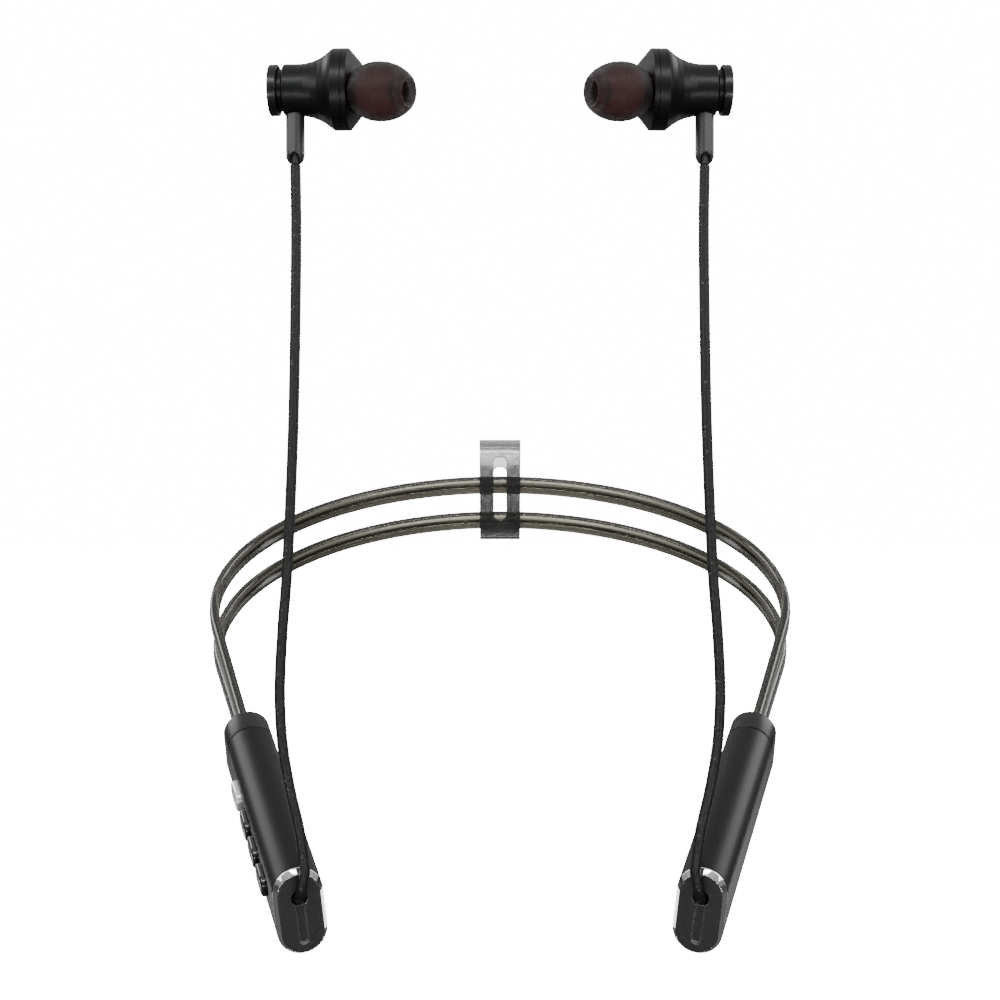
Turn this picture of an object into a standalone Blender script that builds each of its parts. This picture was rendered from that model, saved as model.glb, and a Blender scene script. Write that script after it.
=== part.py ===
"""Neckband earphones, hanging as they are worn.

Two flat smoky strands sweep round the back of the neck and carry a slim metal pod at each end.
A braided cord rises from the front of each pod to an earbud. Metres, +Z up, +X to the wearer's
left, -Y to the wearer's front. The origin is the middle of the band at the back of the neck.
The band and the pods lie in one plane, tipped down towards the front by BAND_TILT. Inside it,
local -y runs forward and local +z is square to the plane.
"""

from math import cos, pi, radians, sin, sqrt, tan

import bmesh
import bpy
from mathutils import Matrix, Vector

MM = 0.001
GAP = 0.3 * MM
SHARP_ANGLE = radians(35)
TURNED_SIDES = 16
ROUND_SHARE = 0.97

# Band: half an ellipse at the back, then a round bend, then a straight run into the pod.
BAND_TILT = radians(30)
BAND_HALF_WIDTH = 71.6 * MM
BAND_DEPTH = 58 * MM
SIDE_LEAN = radians(17.2)
SIDE_BEND_RADIUS = BAND_DEPTH ** 2 / BAND_HALF_WIDTH
SIDE_STRAIGHT = 39.4 * MM
STRAND_HALF_THICK = 1.25 * MM
STRAND_HALF_TALL = 2.6 * MM
STRAND_OFFSET_BACK = 5.7 * MM
STRAND_OFFSET_POD = 3.6 * MM
STRAND_SIDES = 10
LUMEN_RADIUS = 0.8 * MM
WIRE_RADIUS = 0.38 * MM
WIRE_SIDES = 6
FLEX_AT = radians(50)
FLEX_GAP = 0.35 * MM
STRAND_IN_CAP = 3.4 * MM
CORE_IN_CAP = 8.5 * MM

# Pod: a stadium-section tube, its front end cut a little more upright than square.
POD_HALF_WIDE = 5.2 * MM
POD_HALF_TALL = 9.15 * MM
POD_LENGTH = 58.4 * MM
POD_LEAN = radians(17.8)
POD_WALL = 0.8 * MM
POD_CUT = tan(radians(15))
CAP_LENGTH = 6.3 * MM
CAP_WALL = 1.2 * MM
CAP_FLOOR = 2.2 * MM
CAP_ROUNDING = ((0.8 * MM, 0), (0.2 * MM, 0.25 * MM), (0, 0.8 * MM))
BEZEL_LENGTH = 1.7 * MM
BEZEL_INSET = 0.85 * MM
BEZEL_CHAMFER = 0.75 * MM
PLATE_THICK = 1.5 * MM
HOLE_HEIGHT = 3.3 * MM
HOLE_RADIUS = 1.65 * MM
GLAND_RADIUS = 1.3 * MM
GLAND_RECESS = 1.6 * MM
GLAND_FLANGE_RADIUS = 2.4 * MM
GLAND_FLANGE_THICK = 1.0 * MM
GROOVE_HALF = 0.9 * MM
GROOVE_LOW = -6.5 * MM
GROOVE_DEPTH = 0.45 * MM

# Buttons, in a row along the outer flat side of the right pod; the first stands a little apart.
BUTTON_FIRST = 18.0 * MM
BUTTON_SECOND = 28.2 * MM
BUTTON_PITCH = 8.9 * MM
BUTTON_PLACES = [BUTTON_FIRST] + [BUTTON_SECOND + BUTTON_PITCH * step for step in range(3)]
BUTTON_HALF_LONG = 3.8 * MM
BUTTON_HALF_TALL = 2.5 * MM
BUTTON_PROUD = 1.35 * MM
BUTTON_CROWN = ((0, 0.6 * MM), (0.4 * MM, 0.15 * MM), (1.5 * MM, 0))
BUTTON_FLANGE = 0.5 * MM
BUTTON_FLANGE_THICK = 0.9 * MM
PLUNGER_HALF = 0.8 * MM
PLUNGER_LENGTH = 0.6 * MM
BUTTON_TRAVEL = 0.3 * MM
SWITCH_HALF_LONG = 2.2 * MM
SWITCH_HALF_TALL = 1.8 * MM
SWITCH_TIP_HALF = 1.0 * MM
SWITCH_TIP_TALL = 0.3 * MM
SWITCH_HEIGHT = 0.8 * MM
SWITCH_CLEARANCE = 0.1 * MM

# What the right pod's board carries, by its distance forward of the pod's rear end; the port, the
# microphone and the light look out through the pod's underside.
BOARD_AT = 31 * MM
BOARD_HALF_LONG = 22 * MM
BOARD_HALF_TALL = 5.6 * MM
BOARD_THICK = 0.8 * MM
BOARD_RAISED = 1.1 * MM
PORT_AT = 40 * MM
PORT_HALF_LONG = 4.4 * MM
PORT_HALF_WIDE = 1.5 * MM
PORT_WALL = 0.35 * MM
PORT_MOUTH = -8.5 * MM
PORT_BACK = -5.1 * MM
PORT_TONGUE = 0.6 * MM
MIC_AT = 52.5 * MM
MIC_HALF = 1.5 * MM
MIC_LEVELS = (-6.3 * MM, -7.7 * MM)
MIC_HOLE_RADIUS = 0.4 * MM
LIGHT_AT = 32.5 * MM
LIGHT_RADIUS = 0.6 * MM
LIGHT_LEVELS = (-9.0 * MM, -5.4 * MM)
BELOW_POD = -10 * MM
BATTERY_HALF_WIDE = 3.3 * MM
BATTERY_HALF_TALL = 6.2 * MM
BATTERY_CORNER = 1.5 * MM
BATTERY_REACH = (12 * MM, 51 * MM)

# Clip: a folded sheet round both strands at the back.
CLIP_HALF_WIDE = 5.7 * MM
CLIP_TOP = 19.7 * MM
CLIP_BOTTOM = -10.5 * MM
CLIP_ROOM = 2.1 * MM
CLIP_SHEET = 0.8 * MM
CLIP_LIP = 0.7 * MM
CLIP_LIP_TALL = 1.2 * MM
CLIP_SLOT_HALF = 1.8 * MM
CLIP_FRONT_SLOT = (-4.3 * MM, 16.3 * MM)
CLIP_REAR_SLOT = (-8.0 * MM, 10.2 * MM)
CLIP_SWEEP_RADIUS = BAND_HALF_WIDTH ** 2 / BAND_DEPTH

# Earbud: a turned body on a level axis that points inward, and a nozzle set at an angle to it.
BUD_X = 41.1 * MM
BUD_Y = -143.5 * MM
BUD_Z = 83.0 * MM
BODY_YAW = radians(3)
NOZZLE_YAW = radians(26)
NOZZLE_DIP = radians(6.7)
NOZZLE_PIVOT = 1.9 * MM
STEM_RADIUS = 1.8 * MM
STEM_TOP = -4.1 * MM
STEM_BOTTOM = -14.8 * MM
STEM_TAPER = ((1.6 * MM, 1.0), (0.6 * MM, 0.9), (0, 0.66))

# Cord: it curves out of the pod's face and up, then hangs through the way points (millimetres, left side).
CORD_RADIUS = 1.02 * MM
CORD_POINTS = 60
CORD_START_DEPTH = 0.7 * MM
CORD_START_DROP = 0.55 * MM
CORD_START_RISE = radians(32)
CORD_BEND_RADIUS = 4.6 * MM
CORD_EXIT_RUN = 3.2 * MM
CORD_EXIT_LEAN = 0.24
CORD_WAY_POINTS = [
    (39.1, -146.8, -70.9),
    (39.9, -147.1, -64.8),
    (41.8, -147.2, -56.4),
    (43.3, -147.1, -47.2),
    (43.8, -146.9, -37.1),
    (43.3, -146.6, -25.2),
    (42.4, -146.1, -12.5),
    (41.4, -145.3, 12.7),
    (41.0, -144.5, 35.9),
    (40.9, -143.8, 54.9),
]


def clear_scene():
    for item in list(bpy.data.objects):
        bpy.data.objects.remove(item, do_unlink=True)


def look(name, colour, roughness, metallic=0.0, alpha=1.0):
    made = bpy.data.materials.new(name)
    made.use_nodes = True
    surface = made.node_tree.nodes["Principled BSDF"]
    surface.inputs["Base Color"].default_value = (*colour, 1.0)
    surface.inputs["Roughness"].default_value = roughness
    surface.inputs["Metallic"].default_value = metallic
    surface.inputs["Alpha"].default_value = alpha
    made.diffuse_color = (*colour, 1.0)
    return made


def empty(name, parent=None, matrix=None):
    made = bpy.data.objects.new(name, None)
    bpy.context.scene.collection.objects.link(made)
    made.parent = parent
    made.matrix_local = matrix or Matrix.Identity(4)
    return made


def ring_solid(name, rings, material, parent, looped=False):
    """A closed solid skinned over rings of points; a looped one joins its last ring to its first."""
    count = len(rings[0])
    faces = []
    for step in range(len(rings) if looped else len(rings) - 1):
        here = step * count
        there = (step + 1) % len(rings) * count
        for point in range(count):
            after = (point + 1) % count
            faces.append((here + point, here + after, there + after, there + point))
    if not looped:
        last = (len(rings) - 1) * count
        faces.append(tuple(range(count)))
        faces.append(tuple(range(last, last + count)))
    mesh = bpy.data.meshes.new(name)
    mesh.from_pydata([point for ring in rings for point in ring], [], faces)
    shape = bmesh.new()
    shape.from_mesh(mesh)
    bmesh.ops.recalc_face_normals(shape, faces=shape.faces)
    shape.to_mesh(mesh)
    shape.free()
    mesh.materials.append(material)
    mesh.shade_smooth()
    mesh.set_sharp_from_angle(angle=SHARP_ANGLE)
    made = bpy.data.objects.new(name, mesh)
    bpy.context.scene.collection.objects.link(made)
    made.parent = parent
    return made


def cut(target, name, rings, parent, operation="DIFFERENCE"):
    """Cut a hidden shape skinned over rings out of a solid, or join it on with operation UNION."""
    cutter = ring_solid(name, rings, target.data.materials[0], parent)
    cutter.hide_render = True
    cutter.display_type = "WIRE"
    change = target.modifiers.new(name, "BOOLEAN")
    change.object = cutter
    change.operation = operation
    change.solver = "EXACT"


def rounded(half_u, half_v, radius, steps):
    """Corner points of a rounded rectangle, anticlockwise, without repeats."""
    points = []
    for quarter in range(4):
        sign_u = 1 if quarter in (0, 3) else -1
        sign_v = 1 if quarter < 2 else -1
        for step in range(steps + 1):
            angle = pi / 2 * (quarter + step / steps)
            u = sign_u * (half_u - radius) + radius * cos(angle)
            v = sign_v * (half_v - radius) + radius * sin(angle)
            if not points or abs(u - points[-1][0]) + abs(v - points[-1][1]) > 1e-6:
                points.append((u, v))
    if abs(points[0][0] - points[-1][0]) + abs(points[0][1] - points[-1][1]) < 1e-6:
        points.pop()
    return points


def turned_rings(profile, sides=TURNED_SIDES):
    """Rings about local z from (radius, height) pairs in millimetres."""
    rings = []
    for radius, height in profile:
        ring = []
        for side in range(sides):
            angle = 2 * pi * side / sides
            ring.append((radius * MM * cos(angle), radius * MM * sin(angle), height * MM))
        rings.append(ring)
    return rings


def turned(name, profile, material, parent, looped=False):
    return ring_solid(name, turned_rings(profile), material, parent, looped)


# ---------------------------------------------------------------- band

def back_point(angle, side):
    """Point and outward normal on the back ellipse, by its parametric angle."""
    point = Vector((side * BAND_HALF_WIDTH * sin(angle), -BAND_DEPTH * (1 - cos(angle)), 0))
    normal = Vector((side * BAND_DEPTH * sin(angle), BAND_HALF_WIDTH * cos(angle), 0)).normalized()
    return point, normal


def bend_point(turn, side):
    """Point and outward normal on the round bend after the ellipse."""
    x = BAND_HALF_WIDTH - SIDE_BEND_RADIUS * (1 - cos(turn))
    y = -BAND_DEPTH - SIDE_BEND_RADIUS * sin(turn)
    return Vector((side * x, y, 0)), Vector((side * cos(turn), -sin(turn), 0))


def side_direction(side):
    return Vector((-side * sin(SIDE_LEAN), -cos(SIDE_LEAN), 0))


def pod_rear(side):
    point, _ = bend_point(SIDE_LEAN, side)
    return point + side_direction(side) * SIDE_STRAIGHT


def strand_offset(y):
    """Half the distance between the strands, which close up a little towards the pods."""
    end = pod_rear(1).y
    share = min(max((y + BAND_DEPTH) / (end + BAND_DEPTH), 0), 1)
    ease = share * share * (3 - 2 * share)
    return STRAND_OFFSET_BACK + (STRAND_OFFSET_POD - STRAND_OFFSET_BACK) * ease


def flex_gap_angle():
    """The parametric angle on the ellipse that FLEX_GAP takes up at a flex point."""
    return FLEX_GAP / sqrt((BAND_HALF_WIDTH * cos(FLEX_AT)) ** 2 + (BAND_DEPTH * sin(FLEX_AT)) ** 2)


def back_stations():
    """Stations along the back piece, from right to left, ending short of the flex points."""
    limit = FLEX_AT - flex_gap_angle()
    steps = 20
    return [back_point(limit * (2 * step / steps - 1), 1) for step in range(steps + 1)]


def arm_stations(side, past_pod):
    """Stations along one side piece, from the flex point to inside the pod."""
    start = FLEX_AT + flex_gap_angle()
    steps = 5
    stations = [back_point(start + (pi / 2 - start) * step / steps, side) for step in range(steps)]
    bend_steps = 2
    stations += [bend_point(SIDE_LEAN * step / bend_steps, side) for step in range(bend_steps + 1)]
    point, normal = stations[-1]
    straight_steps = 3
    for step in range(1, straight_steps):
        stations.append((point + side_direction(side) * SIDE_STRAIGHT * step / straight_steps, normal))
    stations.append((point + side_direction(side) * (SIDE_STRAIGHT + past_pod), normal))
    return stations


def swept(stations, level, sides, half_thick, half_tall):
    """Oval rings standing square to the band at each station; level is +1 upper, -1 lower."""
    rings = []
    for point, normal in stations:
        centre = point + Vector((0, 0, level * strand_offset(point.y)))
        ring = []
        for side in range(sides):
            angle = 2 * pi * side / sides
            ring.append(centre + normal * half_thick * cos(angle)
                        + Vector((0, 0, half_tall * sin(angle))))
        rings.append(ring)
    return rings


def shifted(rings, origin):
    return [[point - origin for point in ring] for ring in rings]


def strand(name, stations, level, parent, origin, material):
    """A hollow strand: its oval skin, and a round lumen for the wire."""
    outer = swept(stations, level, STRAND_SIDES, STRAND_HALF_THICK, STRAND_HALF_TALL)
    inner = swept(stations, level, STRAND_SIDES, LUMEN_RADIUS, LUMEN_RADIUS)
    ring_solid(name, shifted(outer + inner[::-1], origin), material, parent, looped=True)


def core(name, stations, level, parent, origin, material):
    rings = swept(stations, level, WIRE_SIDES, WIRE_RADIUS, WIRE_RADIUS)
    ring_solid(name, shifted(rings, origin), material, parent)


def build_band(band, arms, looks):
    """Strands and what runs inside them, each in a back piece and two side pieces."""
    levels = (("upper", 1, "memory_wire", looks["steel"]),
              ("lower", -1, "signal_lead", looks["copper"]))
    for word, level, inside, material in levels:
        stations = back_stations()
        strand(f"strand_{word}_back", stations, level, band, Vector(), looks["smoky"])
        core(f"{inside}_back", stations, level, band, Vector(), material)
        for hand, side in (("left", 1), ("right", -1)):
            hinge, _ = back_point(FLEX_AT, side)
            strand(f"strand_{word}_{hand}", arm_stations(side, STRAND_IN_CAP), level,
                   arms[hand], hinge, looks["smoky"])
            core(f"{inside}_{hand}", arm_stations(side, CORE_IN_CAP), level,
                 arms[hand], hinge, material)


def build_clip(clip_axis, material):
    """A sheet folded over at the top, gripping both strands, with a long slot in each plate."""
    room = CLIP_ROOM
    outer = room + CLIP_SHEET
    lip = CLIP_LIP
    lip_top = CLIP_BOTTOM + CLIP_LIP_TALL
    fold = CLIP_TOP - outer
    steps = 6
    outline = [(-outer, CLIP_BOTTOM)]
    outline += [(-outer * cos(pi * step / steps), fold + outer * sin(pi * step / steps))
                for step in range(steps + 1)]
    outline += [(outer, CLIP_BOTTOM), (lip, CLIP_BOTTOM), (lip, lip_top), (room, lip_top + lip)]
    outline += [(room * cos(pi * step / steps), fold + room * sin(pi * step / steps))
                for step in range(steps + 1)]
    outline += [(-room, lip_top + lip), (-lip, lip_top), (-lip, CLIP_BOTTOM)]
    ends = (-CLIP_HALF_WIDE, CLIP_HALF_WIDE)
    rings = [[Vector((x, y + CLIP_SWEEP_RADIUS, z)) for y, z in outline] for x in ends]
    clip = ring_solid("clip", rings, material, clip_axis)
    for word, (bottom, top), reach in (("front", CLIP_FRONT_SLOT, -2 * outer),
                                       ("rear", CLIP_REAR_SLOT, 2 * outer)):
        slot = rounded(CLIP_SLOT_HALF, (top - bottom) / 2, CLIP_SLOT_HALF * ROUND_SHARE, 4)
        rings = [[(x, CLIP_SWEEP_RADIUS + y, z + (top + bottom) / 2) for x, z in slot] for y in (0, reach)]
        cut(clip, f"clip_{word}_slot_cutter", rings, clip_axis)


# ---------------------------------------------------------------- pods

def section(half_u, half_v, forward, steps=5, radius=None, height=0.0, slanted=True):
    """A stadium or rounded outline across the pod, `forward` of its rear end."""
    ring = []
    for x, z in rounded(half_u, half_v, radius or half_u, steps):
        slant = POD_CUT * (z + height) if slanted else 0
        ring.append((x, -forward + slant, z + height))
    return ring


def pod_section(inset, forward, slanted):
    return section(POD_HALF_WIDE - inset, POD_HALF_TALL - inset, forward, slanted=slanted)


def build_pod_case(hand, pod, looks):
    """Shell, rear cap, bezel, face plate and cord gland of one pod."""
    shell_rear = CAP_LENGTH + GAP
    shell_front = POD_LENGTH - BEZEL_LENGTH - GAP
    shell = ring_solid(f"pod_{hand}_shell", [
        pod_section(0, shell_rear, False),
        pod_section(0, shell_front, True),
        pod_section(POD_WALL, shell_front, True),
        pod_section(POD_WALL, shell_rear, False),
    ], looks["black_metal"], pod, looped=True)

    cap_rings = [pod_section(inset, forward, False) for inset, forward in CAP_ROUNDING]
    cap_rings += [
        pod_section(0, CAP_LENGTH, False),
        pod_section(CAP_WALL, CAP_LENGTH, False),
        pod_section(CAP_WALL, CAP_FLOOR, False),
    ]
    cap = ring_solid(f"pod_{hand}_rear_cap", cap_rings, looks["dark_clear"], pod)
    for word, level in (("upper", 1), ("lower", -1)):
        slot = [section(STRAND_HALF_THICK + GAP, STRAND_HALF_TALL + GAP, forward, steps=3,
                        height=level * STRAND_OFFSET_POD, slanted=False)
                for forward in (-CAP_FLOOR, CAP_FLOOR + CAP_WALL)]
        cut(cap, f"cap_{hand}_{word}_slot_cutter", slot, pod)

    plate_inset = BEZEL_INSET + GAP
    ring_solid(f"pod_{hand}_bezel", [
        pod_section(0, POD_LENGTH - BEZEL_LENGTH, True),
        pod_section(0, POD_LENGTH - BEZEL_CHAMFER, True),
        pod_section(BEZEL_CHAMFER, POD_LENGTH, True),
        pod_section(BEZEL_INSET, POD_LENGTH, True),
        pod_section(BEZEL_INSET, POD_LENGTH - BEZEL_LENGTH, True),
    ], looks["chrome"], pod, looped=True)

    plate_front = POD_LENGTH
    plate_rear = plate_front - PLATE_THICK
    plate = ring_solid(f"pod_{hand}_face_plate", [
        pod_section(plate_inset, plate_rear, True),
        pod_section(plate_inset, plate_front, True),
    ], looks["matt_black"], pod)
    hole = [section(HOLE_RADIUS, HOLE_RADIUS, forward, steps=3, radius=HOLE_RADIUS, height=HOLE_HEIGHT)
            for forward in (plate_rear - PLATE_THICK, plate_front + PLATE_THICK)]
    cut(plate, f"plate_{hand}_hole_cutter", hole, pod)
    groove_middle = (HOLE_HEIGHT + GROOVE_LOW) / 2
    groove = [section(GROOVE_HALF, (HOLE_HEIGHT - GROOVE_LOW) / 2, forward, steps=3, height=groove_middle)
              for forward in (plate_front - GROOVE_DEPTH, plate_front + PLATE_THICK)]
    cut(plate, f"plate_{hand}_groove_cutter", groove, pod)

    gland_front = POD_LENGTH - GLAND_RECESS
    flange_front = plate_rear - GAP
    ring_solid(f"pod_{hand}_cord_gland", [
        section(radius, radius, forward, steps=3, radius=radius, height=HOLE_HEIGHT)
        for radius, forward in ((GLAND_RADIUS, gland_front), (GLAND_RADIUS, flange_front),
                                (GLAND_FLANGE_RADIUS, flange_front),
                                (GLAND_FLANGE_RADIUS, flange_front - GLAND_FLANGE_THICK))
    ], looks["rubber"], pod)
    return shell


def button_rings(sizes, forward, side):
    """Rounded outlines facing the pod's outer side, from (half long, half tall, reach) rows."""
    rings = []
    for half_long, half_tall, reach in sizes:
        radius = min(half_long, half_tall) * ROUND_SHARE
        rings.append([(side * reach, -forward + y, z)
                      for y, z in rounded(half_long, half_tall, radius, 3)])
    return rings


def build_buttons(pod, shell, side, looks):
    """Four keys that press inward, each over its own switch; gives the level of the board's face."""
    inner = POD_HALF_WIDE - POD_WALL
    flange_top = inner - GAP
    flange_under = flange_top - BUTTON_FLANGE_THICK
    plunger_end = flange_under - PLUNGER_LENGTH
    switch_top = plunger_end - BUTTON_TRAVEL - SWITCH_CLEARANCE
    switch_base = switch_top - SWITCH_HEIGHT
    top = POD_HALF_WIDE + BUTTON_PROUD
    open_long = BUTTON_HALF_LONG + GAP
    open_tall = BUTTON_HALF_TALL + GAP
    wide_long = BUTTON_HALF_LONG + BUTTON_FLANGE
    wide_tall = BUTTON_HALF_TALL + BUTTON_FLANGE
    for number, forward in enumerate(BUTTON_PLACES, start=1):
        opening = ((open_long, open_tall, inner - POD_WALL), (open_long, open_tall, top))
        cut(shell, f"button_{number}_opening_cutter", button_rings(opening, forward, side), pod)
        sizes = [
            (PLUNGER_HALF, PLUNGER_HALF, plunger_end),
            (PLUNGER_HALF, PLUNGER_HALF, flange_under),
            (wide_long, wide_tall, flange_under),
            (wide_long, wide_tall, flange_top),
            (BUTTON_HALF_LONG, BUTTON_HALF_TALL, flange_top),
        ]
        sizes += [(BUTTON_HALF_LONG - inset, BUTTON_HALF_TALL - inset, top - below)
                  for inset, below in BUTTON_CROWN]
        seat = empty(f"button_{number}_slide", pod, Matrix.Translation((0, -forward, 0)))
        finish = looks["chrome"] if number == 1 else looks["gloss_black"]
        ring_solid(f"button_{number}", button_rings(sizes, 0, side), finish, seat)
        switch = ((SWITCH_HALF_LONG, SWITCH_HALF_TALL, switch_base),
                  (SWITCH_HALF_LONG, SWITCH_HALF_TALL, switch_top - SWITCH_TIP_TALL),
                  (SWITCH_TIP_HALF, SWITCH_TIP_HALF, switch_top))
        ring_solid(f"switch_{number}", button_rings(switch, forward, side), looks["steel"], pod)
    return switch_base - GAP


def level_rings(half_long, half_wide, forward, levels):
    """Rounded outlines looking down through the pod's underside, one at each level."""
    radius = min(half_wide, half_long) * ROUND_SHARE
    return [[(x, -forward + y, z) for x, y in rounded(half_wide, half_long, radius, 3)] for z in levels]


def build_board(pod, shell, side, board_top, looks):
    """Main board and what it carries: charging port, microphone and status light."""
    board = [(BOARD_HALF_LONG, BOARD_HALF_TALL, board_top - BOARD_THICK),
             (BOARD_HALF_LONG, BOARD_HALF_TALL, board_top)]
    rings = [[(x, y, z + BOARD_RAISED) for x, y, z in ring] for ring in button_rings(board, BOARD_AT, side)]
    ring_solid("main_board", rings, looks["board"], pod)

    inside = (PORT_HALF_LONG - PORT_WALL, PORT_HALF_WIDE - PORT_WALL)
    port = level_rings(PORT_HALF_LONG, PORT_HALF_WIDE, PORT_AT, (PORT_BACK, PORT_MOUTH))
    port += level_rings(*inside, PORT_AT, (PORT_MOUTH, PORT_BACK - PORT_TONGUE))
    ring_solid("charging_port", port, looks["steel"], pod)
    through_wall = (BELOW_POD, POD_WALL + GAP - POD_HALF_TALL)
    cut(shell, "port_opening_cutter",
        level_rings(PORT_HALF_LONG + GAP, PORT_HALF_WIDE + GAP, PORT_AT, through_wall), pod)

    ring_solid("microphone", level_rings(MIC_HALF, MIC_HALF, MIC_AT, MIC_LEVELS), looks["steel"], pod)
    cut(shell, "microphone_hole_cutter",
        level_rings(MIC_HOLE_RADIUS, MIC_HOLE_RADIUS, MIC_AT, through_wall), pod)
    ring_solid("status_light", level_rings(LIGHT_RADIUS, LIGHT_RADIUS, LIGHT_AT, LIGHT_LEVELS),
               looks["clear"], pod)
    cut(shell, "status_light_hole_cutter",
        level_rings(LIGHT_RADIUS + GAP, LIGHT_RADIUS + GAP, LIGHT_AT, through_wall), pod)


def build_battery(pod, looks):
    battery = [section(BATTERY_HALF_WIDE, BATTERY_HALF_TALL, forward, steps=3, radius=BATTERY_CORNER,
                       slanted=False) for forward in BATTERY_REACH]
    ring_solid("battery", battery, looks["battery"], pod)


def pod_matrix(side):
    """The pod's place in the band's plane: its rear end, turned to its own lean."""
    return Matrix.Translation(pod_rear(side)) @ Matrix.Rotation(-side * POD_LEAN, 4, "Z")


# ---------------------------------------------------------------- earbuds and cords

# Turned outlines of the earbud, as (radius, height along the axis) in millimetres. The body's
# heights are measured from the stem, the nozzle's and the tip's from the nozzle's pivot.
CAP_PROFILE = [(4.5, -5.05), (4.95, -4.93), (5.08, -4.65), (5.08, -3.3), (4.4, -3.3), (4.4, -4.4)]
MAGNET_PROFILE = [(3.35, -4.1), (3.35, -2.9)]
REAR_PROFILE = [
    (4.45, -3.0), (4.45, -2.25), (5.12, -1.95), (5.12, 1.0), (5.25, 2.2), (5.6, 3.6), (6.2, 5.1),
    (6.95, 6.35), (7.7, 7.35), (8.1, 7.9), (8.1, 9.75), (7.3, 9.75), (7.3, 8.1), (5.3, 5.6),
    (4.4, 3.4), (3.65, 1.7), (3.65, -3.0),
]
FRONT_PROFILE = [(8.1, 10.05), (8.1, 11.05), (5.3, 13.4), (4.5, 13.9)]
CAVITY_PROFILE = [(7.3, 9.5), (7.3, 10.8), (4.9, 12.7), (4.3, 13.0)]
NOZZLE_PROFILE = [(2.7, 11.0), (2.7, 17.0), (2.95, 17.3), (2.95, 18.0), (2.6, 18.4)]
BORE_PROFILE = [(1.9, 10.0), (1.9, 19.0)]
DRIVER_PROFILE = [(3.4, 6.4), (3.4, 8.3), (6.8, 8.3), (6.8, 10.1), (5.6, 10.6)]
MESH_PROFILE = [(1.6, 17.5), (1.6, 17.9)]
TIP_PROFILE = [
    (4.2, 12.45), (4.95, 13.7), (5.6, 15.3), (5.85, 17.3), (5.7, 19.2), (5.15, 21.1), (4.3, 22.7),
    (3.4, 23.8), (2.8, 24.2), (2.4, 24.0), (2.35, 19.0), (3.25, 18.75), (3.25, 14.3), (3.85, 14.3),
    (3.9, 20.4), (4.75, 19.5), (5.25, 17.3), (5.0, 15.4), (4.4, 14.0), (3.7, 12.6),
]


def axis_matrix(side, yaw, dip):
    """Turns local z inward, then forward by yaw and down by dip."""
    along = Vector((-side * cos(yaw) * cos(dip), -sin(yaw) * cos(dip), -sin(dip)))
    across = Vector((0, 0, 1)).cross(along).normalized()
    return Matrix((across, along.cross(across), along)).transposed().to_4x4()


def build_bud(hand, side, turn, looks):
    """One earbud: cap and magnet, two shells, driver, mesh, silicone tip and stem."""
    body_turn = axis_matrix(side, BODY_YAW, 0)
    body = empty(f"bud_{hand}_body_axis", turn, body_turn)
    pivot = body_turn @ Vector((0, 0, NOZZLE_PIVOT))
    nozzle = empty(f"bud_{hand}_nozzle_axis", turn,
                   Matrix.Translation(pivot) @ axis_matrix(side, NOZZLE_YAW, NOZZLE_DIP))
    turned(f"bud_{hand}_cap", CAP_PROFILE, looks["black_metal"], body)
    turned(f"bud_{hand}_magnet", MAGNET_PROFILE, looks["steel"], body)
    shell = turned(f"bud_{hand}_rear_shell", REAR_PROFILE, looks["black_metal"], body, looped=True)
    front = turned(f"bud_{hand}_front_shell", FRONT_PROFILE, looks["black_metal"], body)
    cut(front, f"bud_{hand}_nozzle_joiner", turned_rings(NOZZLE_PROFILE), nozzle, "UNION")
    cut(front, f"bud_{hand}_cavity_cutter", turned_rings(CAVITY_PROFILE), body)
    cut(front, f"bud_{hand}_bore_cutter", turned_rings(BORE_PROFILE), nozzle)
    turned(f"bud_{hand}_driver", DRIVER_PROFILE, looks["steel"], body)
    turned(f"bud_{hand}_nozzle_mesh", MESH_PROFILE, looks["steel"], nozzle)
    turned(f"ear_tip_{hand}", TIP_PROFILE, looks["silicone"], nozzle, looped=True)

    def level_disc(radius, height, sides=12):
        return [(radius * cos(2 * pi * step / sides), radius * sin(2 * pi * step / sides), height)
                for step in range(sides)]

    stem = [level_disc(STEM_RADIUS, STEM_TOP)]
    stem += [level_disc(STEM_RADIUS * share, STEM_BOTTOM + above) for above, share in STEM_TAPER]
    ring_solid(f"bud_{hand}_stem", stem, looks["black_metal"], turn)
    hole = STEM_RADIUS + GAP
    cut(shell, f"bud_{hand}_stem_cutter",
        [level_disc(hole, STEM_TOP * 2), level_disc(hole, STEM_TOP + 1.1 * MM)], turn)


def smooth_route(points, samples):
    """Evenly spaced points on the smooth curve through a route's points."""
    fine = []
    steps = 40
    for index in range(len(points) - 1):
        before = points[max(index - 1, 0)]
        start = points[index]
        end = points[index + 1]
        after = points[min(index + 2, len(points) - 1)]
        for step in range(steps):
            t = step / steps
            fine.append(0.5 * (2 * start + (end - before) * t
                               + (2 * before - 5 * start + 4 * end - after) * t ** 2
                               + (3 * start - before - 3 * end + after) * t ** 3))
    fine.append(points[-1])
    reach = [0.0]
    for index in range(1, len(fine)):
        reach.append(reach[-1] + (fine[index] - fine[index - 1]).length)
    even = []
    index = 0
    for sample in range(samples):
        wanted = reach[-1] * sample / (samples - 1)
        while index < len(fine) - 2 and reach[index + 1] < wanted:
            index += 1
        share = (wanted - reach[index]) / (reach[index + 1] - reach[index])
        even.append(fine[index].lerp(fine[index + 1], share))
    return even


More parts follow.
